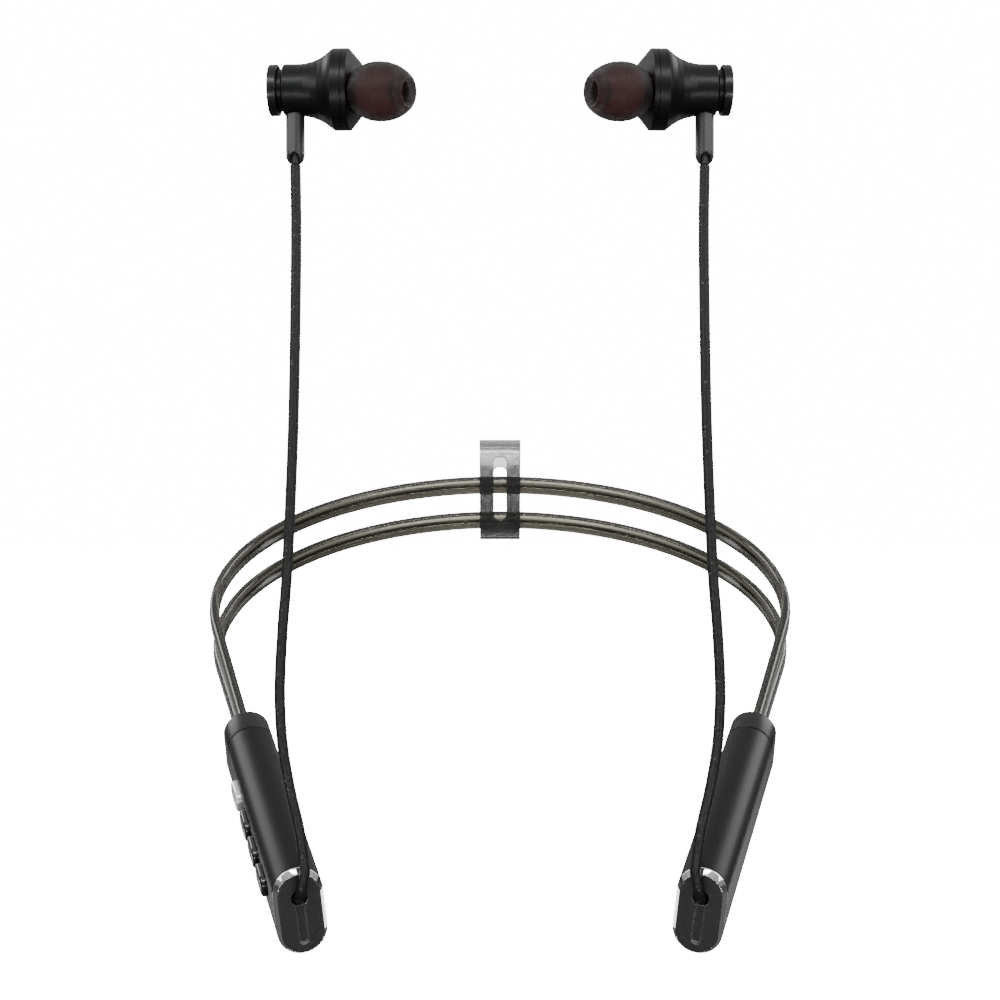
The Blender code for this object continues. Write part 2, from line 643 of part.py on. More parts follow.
def cord_route(side):
    """Points from inside the pod's cord hole, round the bend at its mouth, and up to the stem."""
    pod = Matrix.Rotation(BAND_TILT, 4, "X") @ pod_matrix(side)
    turn = pod.to_3x3()
    ahead = (turn @ Vector((0, -1, POD_CUT))).normalized()
    up = (turn @ Vector((0, POD_CUT, 1))).normalized()
    inward = turn @ Vector((-side, 0, 0))
    rise = (up + inward * CORD_EXIT_LEAN).normalized()
    mouth = pod @ Vector((0, -POD_LENGTH + POD_CUT * HOLE_HEIGHT, HOLE_HEIGHT))
    start = mouth - ahead * CORD_START_DEPTH - rise * CORD_START_DROP
    route = []
    steps = 4
    for step in range(steps + 1):
        angle = CORD_START_RISE + (pi / 2 - CORD_START_RISE) * step / steps
        route.append(start + ahead * CORD_BEND_RADIUS * (sin(angle) - sin(CORD_START_RISE))
                     + rise * CORD_BEND_RADIUS * (cos(CORD_START_RISE) - cos(angle)))
    route.append(route[-1] + rise * CORD_EXIT_RUN)
    route += [Vector((side * x * MM, y * MM, z * MM)) for x, y, z in CORD_WAY_POINTS]
    route.append(Vector((side * BUD_X, BUD_Y, BUD_Z + STEM_BOTTOM - GAP)))
    return route


def build_cord(hand, side, material):
    """A braided cord from the pod's gland up to the earbud's stem."""
    curve = bpy.data.curves.new(f"cord_{hand}", "CURVE")
    curve.dimensions = "3D"
    curve.bevel_depth = CORD_RADIUS
    curve.bevel_resolution = 2
    curve.use_fill_caps = True
    curve.materials.append(material)
    route = smooth_route(cord_route(side), CORD_POINTS)
    spline = curve.splines.new("POLY")
    spline.points.add(len(route) - 1)
    for knot, place in zip(spline.points, route):
        knot.co = (*place, 1)
    cord = bpy.data.objects.new(f"cord_{hand}", curve)
    bpy.context.scene.collection.objects.link(cord)


def make_looks():
    return {
        "smoky": look("smoky_plastic", (0.10, 0.095, 0.075), 0.18, alpha=0.8),
        "dark_clear": look("dark_clear_plastic", (0.03, 0.03, 0.032), 0.12),
        "clear": look("clear_plastic", (0.35, 0.35, 0.35), 0.15),
        "black_metal": look("black_anodised_aluminium", (0.035, 0.035, 0.037), 0.32, 0.9),
        "chrome": look("chrome", (0.75, 0.75, 0.76), 0.06, 1.0),
        "gloss_black": look("gloss_black_plastic", (0.01, 0.01, 0.01), 0.1),
        "matt_black": look("matt_black_plastic", (0.03, 0.03, 0.032), 0.55),
        "rubber": look("black_rubber", (0.015, 0.015, 0.015), 0.7),
        "silicone": look("grey_silicone", (0.05, 0.045, 0.046), 0.35),
        "braid": look("black_braid", (0.02, 0.02, 0.021), 0.75),
        "steel": look("steel", (0.5, 0.5, 0.5), 0.3, 1.0),
        "copper": look("copper", (0.6, 0.3, 0.15), 0.35, 1.0),
        "board": look("circuit_board", (0.02, 0.1, 0.05), 0.4),
        "battery": look("battery_foil", (0.55, 0.55, 0.57), 0.35, 0.6),
    }


def build():
    clear_scene()
    looks = make_looks()
    band = empty("band_plane", matrix=Matrix.Rotation(BAND_TILT, 4, "X"))
    clip_axis = empty("clip_sweep", band, Matrix.Translation((0, -CLIP_SWEEP_RADIUS, 0)))
    build_clip(clip_axis, looks["smoky"])
    arms = {}
    for hand, side in (("left", 1), ("right", -1)):
        hinge, _ = back_point(FLEX_AT, side)
        arms[hand] = empty(f"arm_{hand}_flex", band, Matrix.Translation(hinge))
        pod = empty(f"pod_{hand}", arms[hand], Matrix.Translation(-hinge) @ pod_matrix(side))
        shell = build_pod_case(hand, pod, looks)
        if hand == "left":
            build_battery(pod, looks)
        else:
            board_top = build_buttons(pod, shell, side, looks)
            build_board(pod, shell, side, board_top, looks)
        turn = empty(f"bud_{hand}_turn", matrix=Matrix.Translation((side * BUD_X, BUD_Y, BUD_Z)))
        build_bud(hand, side, turn, looks)
        build_cord(hand, side, looks["braid"])
    build_band(band, arms, looks)


build()
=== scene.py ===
"""Looks of the neckband earphones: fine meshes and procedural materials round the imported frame."""

from math import cos, pi, radians, sin, tan

import bmesh
import bpy
import numpy as np
from mathutils import Matrix, Vector


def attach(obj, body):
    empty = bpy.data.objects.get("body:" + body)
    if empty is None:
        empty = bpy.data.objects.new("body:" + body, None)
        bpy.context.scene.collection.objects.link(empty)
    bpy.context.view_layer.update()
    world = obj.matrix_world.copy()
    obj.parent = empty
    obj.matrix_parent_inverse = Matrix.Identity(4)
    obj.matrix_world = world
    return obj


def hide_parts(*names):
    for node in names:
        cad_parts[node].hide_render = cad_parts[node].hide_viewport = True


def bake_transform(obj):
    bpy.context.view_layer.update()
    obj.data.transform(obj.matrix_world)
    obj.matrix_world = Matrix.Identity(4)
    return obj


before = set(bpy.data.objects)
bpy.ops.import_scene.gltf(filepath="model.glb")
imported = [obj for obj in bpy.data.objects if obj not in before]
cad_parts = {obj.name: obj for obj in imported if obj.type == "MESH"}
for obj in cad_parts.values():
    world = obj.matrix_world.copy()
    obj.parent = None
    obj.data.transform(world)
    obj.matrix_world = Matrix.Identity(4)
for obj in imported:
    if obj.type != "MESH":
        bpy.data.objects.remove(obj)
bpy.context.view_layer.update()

MM = 0.001
SIDES = (("left", 1), ("right", -1))

# The frame's own dimensions, as in the part.
BAND_TILT = radians(30)
BAND_HALF_WIDTH = 71.6 * MM
BAND_DEPTH = 58 * MM
SIDE_LEAN = radians(17.2)
SIDE_BEND_RADIUS = BAND_DEPTH ** 2 / BAND_HALF_WIDTH
SIDE_STRAIGHT = 39.4 * MM
STRAND_HALF_THICK = 1.25 * MM
STRAND_HALF_TALL = 2.6 * MM
STRAND_OFFSET_BACK = 5.7 * MM
STRAND_OFFSET_POD = 3.6 * MM
LUMEN_RADIUS = 0.62 * MM
WIRE_RADIUS = 0.38 * MM
POD_HALF_WIDE = 5.2 * MM
POD_HALF_TALL = 9.15 * MM
POD_LENGTH = 58.4 * MM
POD_LEAN = radians(17.8)
POD_WALL = 0.8 * MM
POD_CUT = tan(radians(15))
CAP_LENGTH = 6.3 * MM
BEZEL_LENGTH = 1.2 * MM
PLATE_THICK = 1.5 * MM
PLATE_INSET = 0.87 * MM
HOLE_HEIGHT = 3.3 * MM
HOLE_RADIUS = 1.65 * MM
GROOVE_HALF_WIDE = 0.9 * MM
GROOVE_FOOT = -6.5 * MM
GROOVE_DEPTH = 0.5 * MM
POD_GAP = 0.3 * MM
CAP_WALL = 1.2 * MM
CAP_DOME = 0.9 * MM
STRAND_IN_POD = 5.2 * MM
CORE_IN_POD = 8.5 * MM
BUTTON_PLACES = [18.0 * MM] + [(28.2 + 8.9 * step) * MM for step in range(3)]
BUTTON_PROUD = 1.35 * MM
BUTTON_HALF_LONG = 3.82 * MM
BUTTON_HALF_TALL = 2.52 * MM
BUTTON_ROOM = 0.2 * MM
BUTTON_FLANGE = 0.9 * MM
BUTTON_STEM = 0.8 * MM
BUTTON_CROWN = 0.75 * MM
CLIP_TOP = 19.7 * MM
CLIP_BOTTOM = -10.5 * MM
CLIP_ROOM = 2.1 * MM
CLIP_SHEET = 0.8 * MM
CLIP_LIP = 0.7 * MM
CLIP_LIP_TALL = 1.2 * MM
CLIP_HALF_WIDE = 5.7 * MM
CLIP_SLOT_HALF = 1.8 * MM
CLIP_FRONT_SLOT = (-4.3 * MM, 16.3 * MM)
CLIP_REAR_SLOT = (-8.0 * MM, 10.2 * MM)
BUD_X = 41.1 * MM
BUD_Y = -143.5 * MM
BUD_Z = 83.0 * MM
BODY_YAW = radians(3)
NOZZLE_YAW = radians(26)
NOZZLE_DIP = radians(6.7)
NOZZLE_PIVOT = 1.9 * MM
STEM_BOTTOM = -14.8 * MM
CORD_RADIUS = 1.02 * MM
CORD_START_DEPTH = 0.7 * MM
CORD_START_DROP = 0.55 * MM
CORD_START_RISE = radians(32)
CORD_BEND_RADIUS = 4.6 * MM
CORD_EXIT_RUN = 3.2 * MM
CORD_EXIT_LEAN = 0.24
CORD_WAY_POINTS = [
    (39.1, -146.8, -70.9),
    (39.9, -147.1, -64.8),
    (41.8, -147.2, -56.4),
    (43.3, -147.1, -47.2),
    (43.8, -146.9, -37.1),
    (43.3, -146.6, -25.2),
    (42.4, -146.1, -12.5),
    (41.4, -145.3, 12.7),
    (41.0, -144.5, 35.9),
    (40.9, -143.8, 54.9),
]

BAND = Matrix.Rotation(BAND_TILT, 4, "X")
WHITE = 20
FACET = 0.9
FACET_TURN = radians(20)
FACET_FOOT = -12.45
NOTCH_HALF = 0.95
NOTCH_TOP = -13.7


# ---------------------------------------------------------------- materials

class Look:
    """A node material, built step by step round one Principled shader."""

    def __init__(self, name, colour, roughness, metallic=0.0):
        self.material = bpy.data.materials.new(name)
        self.material.use_nodes = True
        self.nodes = self.material.node_tree.nodes
        self.links = self.material.node_tree.links
        self.surface = self.nodes["Principled BSDF"]
        self.place = self.nodes.new("ShaderNodeTexCoord").outputs["Object"]
        self.height = None
        self.set("Base Color", (*colour, 1))
        self.set("Roughness", roughness)
        self.set("Metallic", metallic)

    def set(self, name, value):
        self.surface.inputs[name].default_value = value
        return self

    def follow(self, attribute):
        """Take coordinates from a vector stored on the mesh instead of from the object's place."""
        node = self.nodes.new("ShaderNodeAttribute")
        node.attribute_name = attribute
        self.place = node.outputs["Vector"]

    def noise(self, scale, detail=3.0, stretch=None):
        """A noise value from 0 to 1; stretch scales the coordinates first, as for brushing."""
        place = self.place
        if stretch:
            mapping = self.nodes.new("ShaderNodeMapping")
            mapping.inputs["Scale"].default_value = stretch
            self.links.new(place, mapping.inputs["Vector"])
            place = mapping.outputs["Vector"]
        texture = self.nodes.new("ShaderNodeTexNoise")
        texture.inputs["Scale"].default_value = scale
        texture.inputs["Detail"].default_value = detail
        self.links.new(place, texture.inputs["Vector"])
        return texture.outputs["Fac"]

    def span(self, value, low, high, start=0.3, end=0.7):
        """Map a value between start and end to the range low to high."""
        node = self.nodes.new("ShaderNodeMapRange")
        node.inputs["From Min"].default_value = start
        node.inputs["From Max"].default_value = end
        node.inputs["To Min"].default_value = low
        node.inputs["To Max"].default_value = high
        self.links.new(value, node.inputs["Value"])
        return node.outputs["Result"]

    def rough(self, value, low, high):
        self.links.new(self.span(value, low, high), self.surface.inputs["Roughness"])
        return self

    def blend(self, value, dark, light, start=0.35, end=0.65):
        """Vary the base colour between two tones."""
        mix = self.nodes.new("ShaderNodeMix")
        mix.data_type = "RGBA"
        mix.inputs["A"].default_value = (*dark, 1)
        mix.inputs["B"].default_value = (*light, 1)
        self.links.new(self.span(value, 0, 1, start, end), mix.inputs["Factor"])
        self.links.new(mix.outputs["Result"], self.surface.inputs["Base Color"])
        return self

    def darken(self, share):
        """Multiply the base colour by a value."""
        base = self.surface.inputs["Base Color"]
        scaled = self.nodes.new("ShaderNodeVectorMath")
        scaled.operation = "SCALE"
        self.links.new(base.links[0].from_socket, scaled.inputs[0])
        self.links.new(share, scaled.inputs["Scale"])
        self.links.new(scaled.outputs[0], base)

    def bump(self, value, distance, strength=1.0):
        """Add relief, in metres; several calls stack."""
        node = self.nodes.new("ShaderNodeBump")
        node.inputs["Distance"].default_value = distance
        node.inputs["Strength"].default_value = strength
        self.links.new(value, node.inputs["Height"])
        if self.height:
            self.links.new(self.height, node.inputs["Normal"])
        self.height = node.outputs["Normal"]
        self.links.new(self.height, self.surface.inputs["Normal"])
        return self

    def edges(self, dark, light, low=0.53, high=0.62):
        """Lighten convex edges a little: on the pods' metal the finish worn at its edges, on the braid a
        painted highlight on the yarn crowns.
        """
        geometry = self.nodes.new("ShaderNodeNewGeometry")
        return self.blend(geometry.outputs["Pointiness"], dark, light, low, high)


def black_metal():
    made = Look("black_anodised", (0.02, 0.02, 0.021), 0.39, 0.9)
    made.edges((0.02, 0.02, 0.021), (0.045, 0.045, 0.047))
    made.rough(made.noise(6000, 2), 0.385, 0.395)
    return made.bump(made.noise(12000, 2), 0.0000005).material


def bud_metal():
    """The buds' satin finish: black anodised metal with a fine, even grain."""
    made = Look("satin_black_metal", (0.02, 0.02, 0.021), 0.36, 0.9)
    made.blend(made.noise(9000, 2), (0.019, 0.019, 0.02), (0.022, 0.022, 0.023))
    made.rough(made.noise(6000, 2), 0.355, 0.365)
    return made.bump(made.noise(12000, 2), 0.0000005).material


def stem_plastic():
    made = Look("stem_satin_plastic", (0.05, 0.05, 0.052), 0.4, 0.7)
    made.blend(made.noise(5000, 2), (0.046, 0.046, 0.048), (0.055, 0.055, 0.057))
    made.rough(made.noise(6000, 2), 0.38, 0.42)
    return made.bump(made.noise(12000, 2), 0.0000005).material


def turned_metal():
    """Anodised metal with the fine rings of a lathe, on the end caps."""
    made = Look("turned_black_metal", (0.035, 0.035, 0.036), 0.3, 0.9)
    made.blend(made.noise(5000, 2, (8, 1, 1)), (0.032, 0.032, 0.033), (0.038, 0.038, 0.039))
    made.rough(made.noise(5000, 2, (8, 1, 1)), 0.3, 0.32)
    return made.bump(made.noise(12000, 2), 0.0000005).material


def chrome():
    made = Look("polished_chrome", (0.78, 0.78, 0.8), 0.05, 1.0)
    made.rough(made.noise(350, 4), 0.03, 0.08)
    return made.bump(made.noise(1500, 2), 0.0000005).material


def gloss_black():
    made = Look("gloss_black_keys", (0.008, 0.008, 0.009), 0.08)
    made.set("Coat Weight", 0.6).set("Coat Roughness", 0.04)
    made.rough(made.noise(500, 4), 0.06, 0.14)
    return made.bump(made.noise(2500, 2), 0.0000005).material


def matt_black():
    made = Look("matt_black_plate", (0.013, 0.013, 0.0135), 0.38)
    made.blend(made.noise(1500, 3), (0.011, 0.011, 0.011), (0.014, 0.014, 0.0145))
    made.rough(made.noise(900, 4), 0.36, 0.41)
    return made.bump(made.noise(7000, 3), 0.000004).material


def painted_highlight_rim():
    """The face plate's rims, painted a little brighter than its flat as a painted highlight along its
    edges.
    """
    made = Look("rim_painted_highlight", (0.1, 0.1, 0.1), 0.3, 0.6)
    made.blend(made.noise(1200, 3), (0.07, 0.07, 0.07), (0.14, 0.14, 0.14))
    made.rough(made.noise(900, 3), 0.26, 0.34)
    return made.bump(made.noise(7000, 2), 0.000002).material


def bright_key():
    """Satin plating, less sharp than the bezel's."""
    made = Look("bright_plated_key", (0.88, 0.88, 0.89), 0.28, 0.7)
    made.rough(made.noise(600, 3), 0.25, 0.32)
    return made.bump(made.noise(2500, 2), 0.0000005).material


def dark_clear():
    made = Look("dark_clear_cap", (0.02, 0.019, 0.018), 0.2)
    made.set("Transmission Weight", 0.5).set("IOR", 1.4).set("Specular IOR Level", 0.35)
    made.rough(made.noise(600, 3), 0.32, 0.36)
    return made.bump(made.noise(3000, 2), 0.0000005).material


def smoky():
    """Clear olive-brown plastic, drawn out in fine streaks along the strand, with painted shade that
    darkens it towards the pods.
    """
    made = Look("smoky_strand", (0.3, 0.285, 0.235), 0.08)
    made.set("Transmission Weight", 0.94).set("IOR", 1.46).set("Specular IOR Level", 0.35)
    made.follow("straight")
    streaks = made.noise(1500, 3, (1, 1, 0.02))
    made.blend(streaks, (0.17, 0.161, 0.13), (0.36, 0.345, 0.28))
    # Painted shade: the base colour falls to about a third between 20 mm and 75 mm along the strand, so it
    # is darker towards the pods than at the back.
    parts = made.nodes.new("ShaderNodeSeparateXYZ")
    made.links.new(made.place, parts.inputs[0])
    made.darken(made.span(parts.outputs["Z"], 1.0, 0.32, 0.02, 0.075))
    made.rough(streaks, 0.13, 0.18)
    return made.bump(streaks, 0.000002).material


def smoky_clip():
    """Clear grey sheet with painted light and shade: lighter by the fold, darker towards its foot."""
    made = Look("smoky_clip", (0.7, 0.7, 0.7), 0.1)
    made.set("Transmission Weight", 0.94).set("IOR", 1.5)
    parts = made.nodes.new("ShaderNodeSeparateXYZ")
    made.links.new(made.place, parts.inputs[0])
    # Painted light and shade: the base colour runs from dark below 9.3 mm to light above 12.8 mm, standing
    # in for light at the fold and the strands' shadow lower down.
    made.blend(parts.outputs["Z"], (0.25, 0.25, 0.25), (0.68, 0.68, 0.68), 0.0093, 0.0128)
    made.rough(made.noise(60, 2), 0.11, 0.15)
    return made.bump(made.noise(70, 1), 0.000001).material


def silicone():
    made = Look("smoke_silicone", (0.14, 0.125, 0.125), 0.5)
    made.set("Transmission Weight", 0.975).set("IOR", 1.25)
    made.blend(made.noise(120, 2), (0.13, 0.116, 0.116), (0.155, 0.138, 0.138))
    made.rough(made.noise(200, 2), 0.48, 0.53)
    return made.bump(made.noise(900, 2), 0.000001).material


def maroon_core():
    made = Look("maroon_tip_core", (0.14, 0.02, 0.025), 0.4)
    # Painted glow: the faint red emission stands in for light that reaches the core through the skirt.
    made.set("Emission Color", (1, 0.3, 0.32, 1)).set("Emission Strength", 0.26)
    made.blend(made.noise(200, 2), (0.12, 0.018, 0.022), (0.16, 0.024, 0.03))
    made.rough(made.noise(500, 2), 0.35, 0.5)
    return made.bump(made.noise(2200, 2), 0.000003).material


def braid():
    made = Look("black_braid", (0.004, 0.004, 0.004), 0.36)
    made.set("Specular IOR Level", 0.33)
    # Painted highlight: the yarn crowns are lightened as if they caught the light.
    made.edges((0.003, 0.003, 0.003), (0.055, 0.055, 0.057), 0.52, 0.62)
    made.rough(made.noise(3000, 2), 0.3, 0.42)
    return made.bump(made.noise(9000, 3), 0.00002).material


def rubber():
    made = Look("black_rubber", (0.012, 0.012, 0.012), 0.62)
    made.blend(made.noise(500, 3), (0.01, 0.01, 0.01), (0.018, 0.018, 0.018))
    made.rough(made.noise(800, 3), 0.55, 0.7)
    return made.bump(made.noise(6000, 3), 0.00001).material


def steel(name, colour, roughness):
    made = Look(name, colour, roughness, 1.0)
    darker = tuple(part * 0.75 for part in colour)
    made.blend(made.noise(400, 3), darker, colour)
    made.rough(made.noise(900, 3, (1, 6, 1)), roughness * 0.7, roughness * 1.3)
    return made.bump(made.noise(4000, 2, (1, 8, 1)), 0.000004).material


def woven_mesh():
    """Fine wire gauze over the nozzle."""
    made = Look("nozzle_gauze", (0.2, 0.2, 0.2), 0.35, 1.0)
    wave = made.nodes.new("ShaderNodeTexVoronoi")
    wave.inputs["Scale"].default_value = 5000
    made.links.new(made.place, wave.inputs["Vector"])
    made.blend(wave.outputs["Distance"], (0.25, 0.25, 0.25), (0.01, 0.01, 0.01), 0.2, 0.5)
    return made.bump(wave.outputs["Distance"], 0.00005).material


def circuit_board():
    made = Look("solder_mask", (0.01, 0.06, 0.03), 0.35)
    made.blend(made.noise(900, 2, (1, 0.15, 1)), (0.008, 0.05, 0.024), (0.02, 0.11, 0.05))
    made.rough(made.noise(600, 2), 0.25, 0.45)
    return made.bump(made.noise(1500, 2, (1, 0.2, 1)), 0.00002).material


LOOKS = {
    "black_metal": black_metal(),
    "turned_metal": turned_metal(),
    "bud_metal": bud_metal(),
    "stem_plastic": stem_plastic(),
    "chrome": chrome(),
    "gloss_black": gloss_black(),
    "bright_key": bright_key(),
    "painted_highlight_rim": painted_highlight_rim(),
    "matt_black": matt_black(),
    "dark_clear": dark_clear(),
    "smoky": smoky(),
    "smoky_clip": smoky_clip(),
    "silicone": silicone(),
    "maroon": maroon_core(),
    "braid": braid(),
    "rubber": rubber(),
    "steel": steel("plain_steel", (0.5, 0.5, 0.51), 0.3),
    "wire": steel("spring_wire", (0.16, 0.16, 0.165), 0.35),
    "copper": steel("enamelled_copper", (0.22, 0.1, 0.05), 0.35),
    "gauze": woven_mesh(),
    "board": circuit_board(),
    "foil": steel("battery_foil", (0.55, 0.55, 0.57), 0.32),
}


# ---------------------------------------------------------------- mesh helpers

def add_mesh(name, vertices, faces, look, sharp=35.0):
    """A smooth-shaded mesh object, its faces turned outward."""
    mesh = bpy.data.meshes.new(name)
    mesh.from_pydata([tuple(point) for point in vertices], [], faces)
    shape = bmesh.new()
    shape.from_mesh(mesh)
    bmesh.ops.recalc_face_normals(shape, faces=shape.faces)
    shape.to_mesh(mesh)
    shape.free()
    mesh.materials.append(LOOKS[look])
    mesh.shade_smooth()
    mesh.set_sharp_from_angle(angle=radians(sharp))
    made = bpy.data.objects.new(name, mesh)
    bpy.context.scene.collection.objects.link(made)
    return made


def skin(name, rings, look, looped=False, matrix=None, sharp=35.0):
    """A closed surface over rings of points; a looped one joins its last ring to its first."""
    count = len(rings[0])
    faces = []
    for step in range(len(rings) if looped else len(rings) - 1):
        here = step * count
        there = (step + 1) % len(rings) * count
        for point in range(count):
            after = (point + 1) % count
            faces.append((here + point, here + after, there + after, there + point))
    if not looped:
        faces.append(tuple(range(count)))
        faces.append(tuple(range((len(rings) - 1) * count, len(rings) * count)))
    points = [Vector(point) for ring in rings for point in ring]
    if matrix:
        points = [matrix @ point for point in points]
    return add_mesh(name, points, faces, look, sharp)


def softened(corners, radius, steps=4, closed=False):
    """A polyline of 2-D corners, each rounded off by about `radius`."""
    corners = [Vector(corner) for corner in corners]
    out = []
    for index, corner in enumerate(corners):
        if not closed and index in (0, len(corners) - 1):
            out.append(tuple(corner))
            continue
        before = corners[index - 1] - corner
        after = corners[(index + 1) % len(corners)] - corner
        reach = min(radius, before.length * 0.45, after.length * 0.45)
        start = corner + before.normalized() * reach
        end = corner + after.normalized() * reach
        for step in range(steps + 1):
            t = step / steps
            out.append(tuple(start * (1 - t) ** 2 + corner * 2 * t * (1 - t) + end * t ** 2))
    return out


def lathe(name, profile, look, matrix, looped=False, segments=96, shape=None, sharp=35.0):
    """Turned about local z from (radius, height) in millimetres; shape may vary the radius."""
    rings = []
    for radius, height in profile:
        ring = []
        for step in range(segments):
            angle = 2 * pi * step / segments
            here = radius * (shape(angle, radius, height) if shape else 1)
            ring.append((here * MM * cos(angle), here * MM * sin(angle), height * MM))
        rings.append(ring)
    return skin(name, rings, look, looped, matrix, sharp)


def even_shading(piece):
    """Let the large faces set the normals, so that flats stay flat up to their rounded rims."""
    modifier = piece.modifiers.new("even", "WEIGHTED_NORMAL")
    modifier.keep_sharp = True
    graph = bpy.context.evaluated_depsgraph_get()
    done = bpy.data.meshes.new_from_object(piece.evaluated_get(graph))
    piece.modifiers.clear()
    piece.data = done


def flatten_large_faces(piece, area):
    """Shade the large faces flat, where a cut face would otherwise pick up a slanted gradient."""
    for polygon in piece.data.polygons:
        if polygon.area > area:
            polygon.use_smooth = False


def place(piece, body, *nodes, slot=None, even=True):
    """Ride a piece on its body and let it stand for its CAD nodes."""
    if even:
        even_shading(piece)
    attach(piece, body)
    if nodes:
        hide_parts(*nodes)
    return piece


def join_on(piece, other):
    """Union another closed shape with a piece."""
    modifier = piece.modifiers.new("join", "BOOLEAN")
    modifier.object = other
    modifier.operation = "UNION"
    modifier.solver = "EXACT"
    graph = bpy.context.evaluated_depsgraph_get()
    done = bpy.data.meshes.new_from_object(piece.evaluated_get(graph))
    piece.modifiers.clear()
    piece.data = done
    bpy.data.objects.remove(other, do_unlink=True)


def carve(piece, cutters, bevel=0.0, segments=2, rim=None):
    """Cut shapes out of a piece, soften the rims, and keep the result as its mesh."""
    if rim:
        piece.data.materials.append(LOOKS[rim])
    for cutter in cutters:
        modifier = piece.modifiers.new(cutter.name, "BOOLEAN")
        modifier.object = cutter
        modifier.solver = "EXACT"
    if bevel:
        soften = piece.modifiers.new("soften", "BEVEL")
        soften.width = bevel
        soften.segments = segments
        soften.limit_method = "ANGLE"
        soften.angle_limit = radians(40)
        soften.harden_normals = False
        soften.material = 1 if rim else -1
        soften.use_clamp_overlap = not rim
    graph = bpy.context.evaluated_depsgraph_get()
    done = bpy.data.meshes.new_from_object(piece.evaluated_get(graph))
    piece.modifiers.clear()
    piece.data = done
    done.shade_smooth()
    done.set_sharp_from_angle(angle=radians(30))
    for cutter in cutters:
        bpy.data.objects.remove(cutter, do_unlink=True)
    return piece


# ---------------------------------------------------------------- camera, light and floor

# Name, direction, distance, size in metres and radiance. The "through" lamps stand behind the set and
# are seen only through its clear plastic.
LAMPS = (
    ("corner", (0.77, 0.45, 0.45), 0.9, (0.5, 0.5), 4.5),
    ("flat", (0.45, 0.87, -0.2), 0.9, (0.3, 0.3), 0.3),
    ("under", (0.67, 0.62, -0.4), 0.55, (0.13, 0.08), 3.0),
    ("through_low", (0.3, 1.0, -0.22), 0.9, (0.7, 0.2), 1.1),
    ("through_line", (0.3, 1.0, 0.02), 0.9, (0.7, 0.012), 9.0),
    ("front_side", (0.76, -0.62, 0.36), 0.9, (0.42, 0.4), 4.5),
    ("front_top", (0.31, -0.72, 0.62), 1.0, (0.68, 0.1), 16.0),
    ("front_low", (0.45, -0.83, -0.38), 0.7, (0.64, 0.035), 22.0),
)


def build_camera():
    camera_data = bpy.data.cameras.new("camera")
    camera_data.sensor_width = 36
    camera_data.lens = 63
    camera_data.clip_start = 0.01
    camera = bpy.data.objects.new("camera", camera_data)
    camera.location = (0, -0.495, 0.0007)
    camera.rotation_euler = (pi / 2, 0, 0)
    bpy.context.scene.collection.objects.link(camera)
    bpy.context.scene.camera = camera


def build_room():
    """Pure white to the camera; for light, a dim room that brightens upward."""
    world = bpy.data.worlds.new("studio")
    bpy.context.scene.world = world
    world.use_nodes = True
    nodes = world.node_tree.nodes
    links = world.node_tree.links
    nodes.clear()
    seen = nodes.new("ShaderNodeBackground")
    seen.inputs["Strength"].default_value = WHITE
    room = nodes.new("ShaderNodeBackground")
    direction = nodes.new("ShaderNodeTexCoord")
    parts = nodes.new("ShaderNodeSeparateXYZ")
    links.new(direction.outputs["Generated"], parts.inputs[0])
    above = nodes.new("ShaderNodeMapRange")
    above.interpolation_type = "SMOOTHSTEP"
    for label, value in (("From Min", -0.35), ("From Max", 1.0), ("To Min", 0.16), ("To Max", 1.0)):
        above.inputs[label].default_value = value
    links.new(parts.outputs["Z"], above.inputs["Value"])
    links.new(above.outputs["Result"], room.inputs["Strength"])
    path = nodes.new("ShaderNodeLightPath")
    mix = nodes.new("ShaderNodeMixShader")
    out = nodes.new("ShaderNodeOutputWorld")
    links.new(path.outputs["Is Camera Ray"], mix.inputs["Fac"])
    links.new(room.outputs[0], mix.inputs[1])
    links.new(seen.outputs[0], mix.inputs[2])
    links.new(mix.outputs[0], out.inputs[0])


def build_lamps():
    """Soft lamps in mirrored pairs, all turned to the middle of the set."""
    middle = Vector((0, -0.12, 0))
    for name, direction, far, size, brightness in LAMPS:
        for hand, side in SIDES:
            lamp = bpy.data.lights.new(f"{name}_{hand}", "AREA")
            lamp.shape = "RECTANGLE"
            lamp.size, lamp.size_y = size
            lamp.energy = brightness * pi * size[0] * size[1]
            item = bpy.data.objects.new(f"{name}_{hand}", lamp)
            item.location = middle + Vector((side * direction[0], direction[1], direction[2])) * far
            item.rotation_euler = (middle - item.location).to_track_quat("-Z", "Y").to_euler()
            item.visible_camera = False
            if name.startswith("through"):
                item.visible_glossy = False
                item.visible_diffuse = False
            bpy.context.scene.collection.objects.link(item)


def build_floor():
    floor_look = bpy.data.materials.new("pale_floor")
    floor_look.use_nodes = True
    surface = floor_look.node_tree.nodes["Principled BSDF"]
    surface.inputs["Base Color"].default_value = (0.07, 0.07, 0.07, 1)
    surface.inputs["Roughness"].default_value = 0.9
    surface.inputs["Emission Color"].default_value = (1, 1, 1, 1)
    glow = floor_look.node_tree.nodes.new("ShaderNodeLightPath")
    scaled = floor_look.node_tree.nodes.new("ShaderNodeMath")
    scaled.operation = "MULTIPLY"
    scaled.inputs[1].default_value = WHITE
    floor_look.node_tree.links.new(glow.outputs["Is Camera Ray"], scaled.inputs[0])
    floor_look.node_tree.links.new(scaled.outputs[0], surface.inputs["Emission Strength"])
    mesh = bpy.data.meshes.new("floor")
    reach = 12
    level = -0.35
    corners = [(-reach, -reach, level), (reach, -reach, level), (reach, reach, level),
               (-reach, reach, level)]
    mesh.from_pydata(corners, [], [(0, 1, 2, 3)])
    mesh.materials.append(floor_look)
    floor = bpy.data.objects.new("floor", mesh)
    bpy.context.scene.collection.objects.link(floor)


# ---------------------------------------------------------------- cords

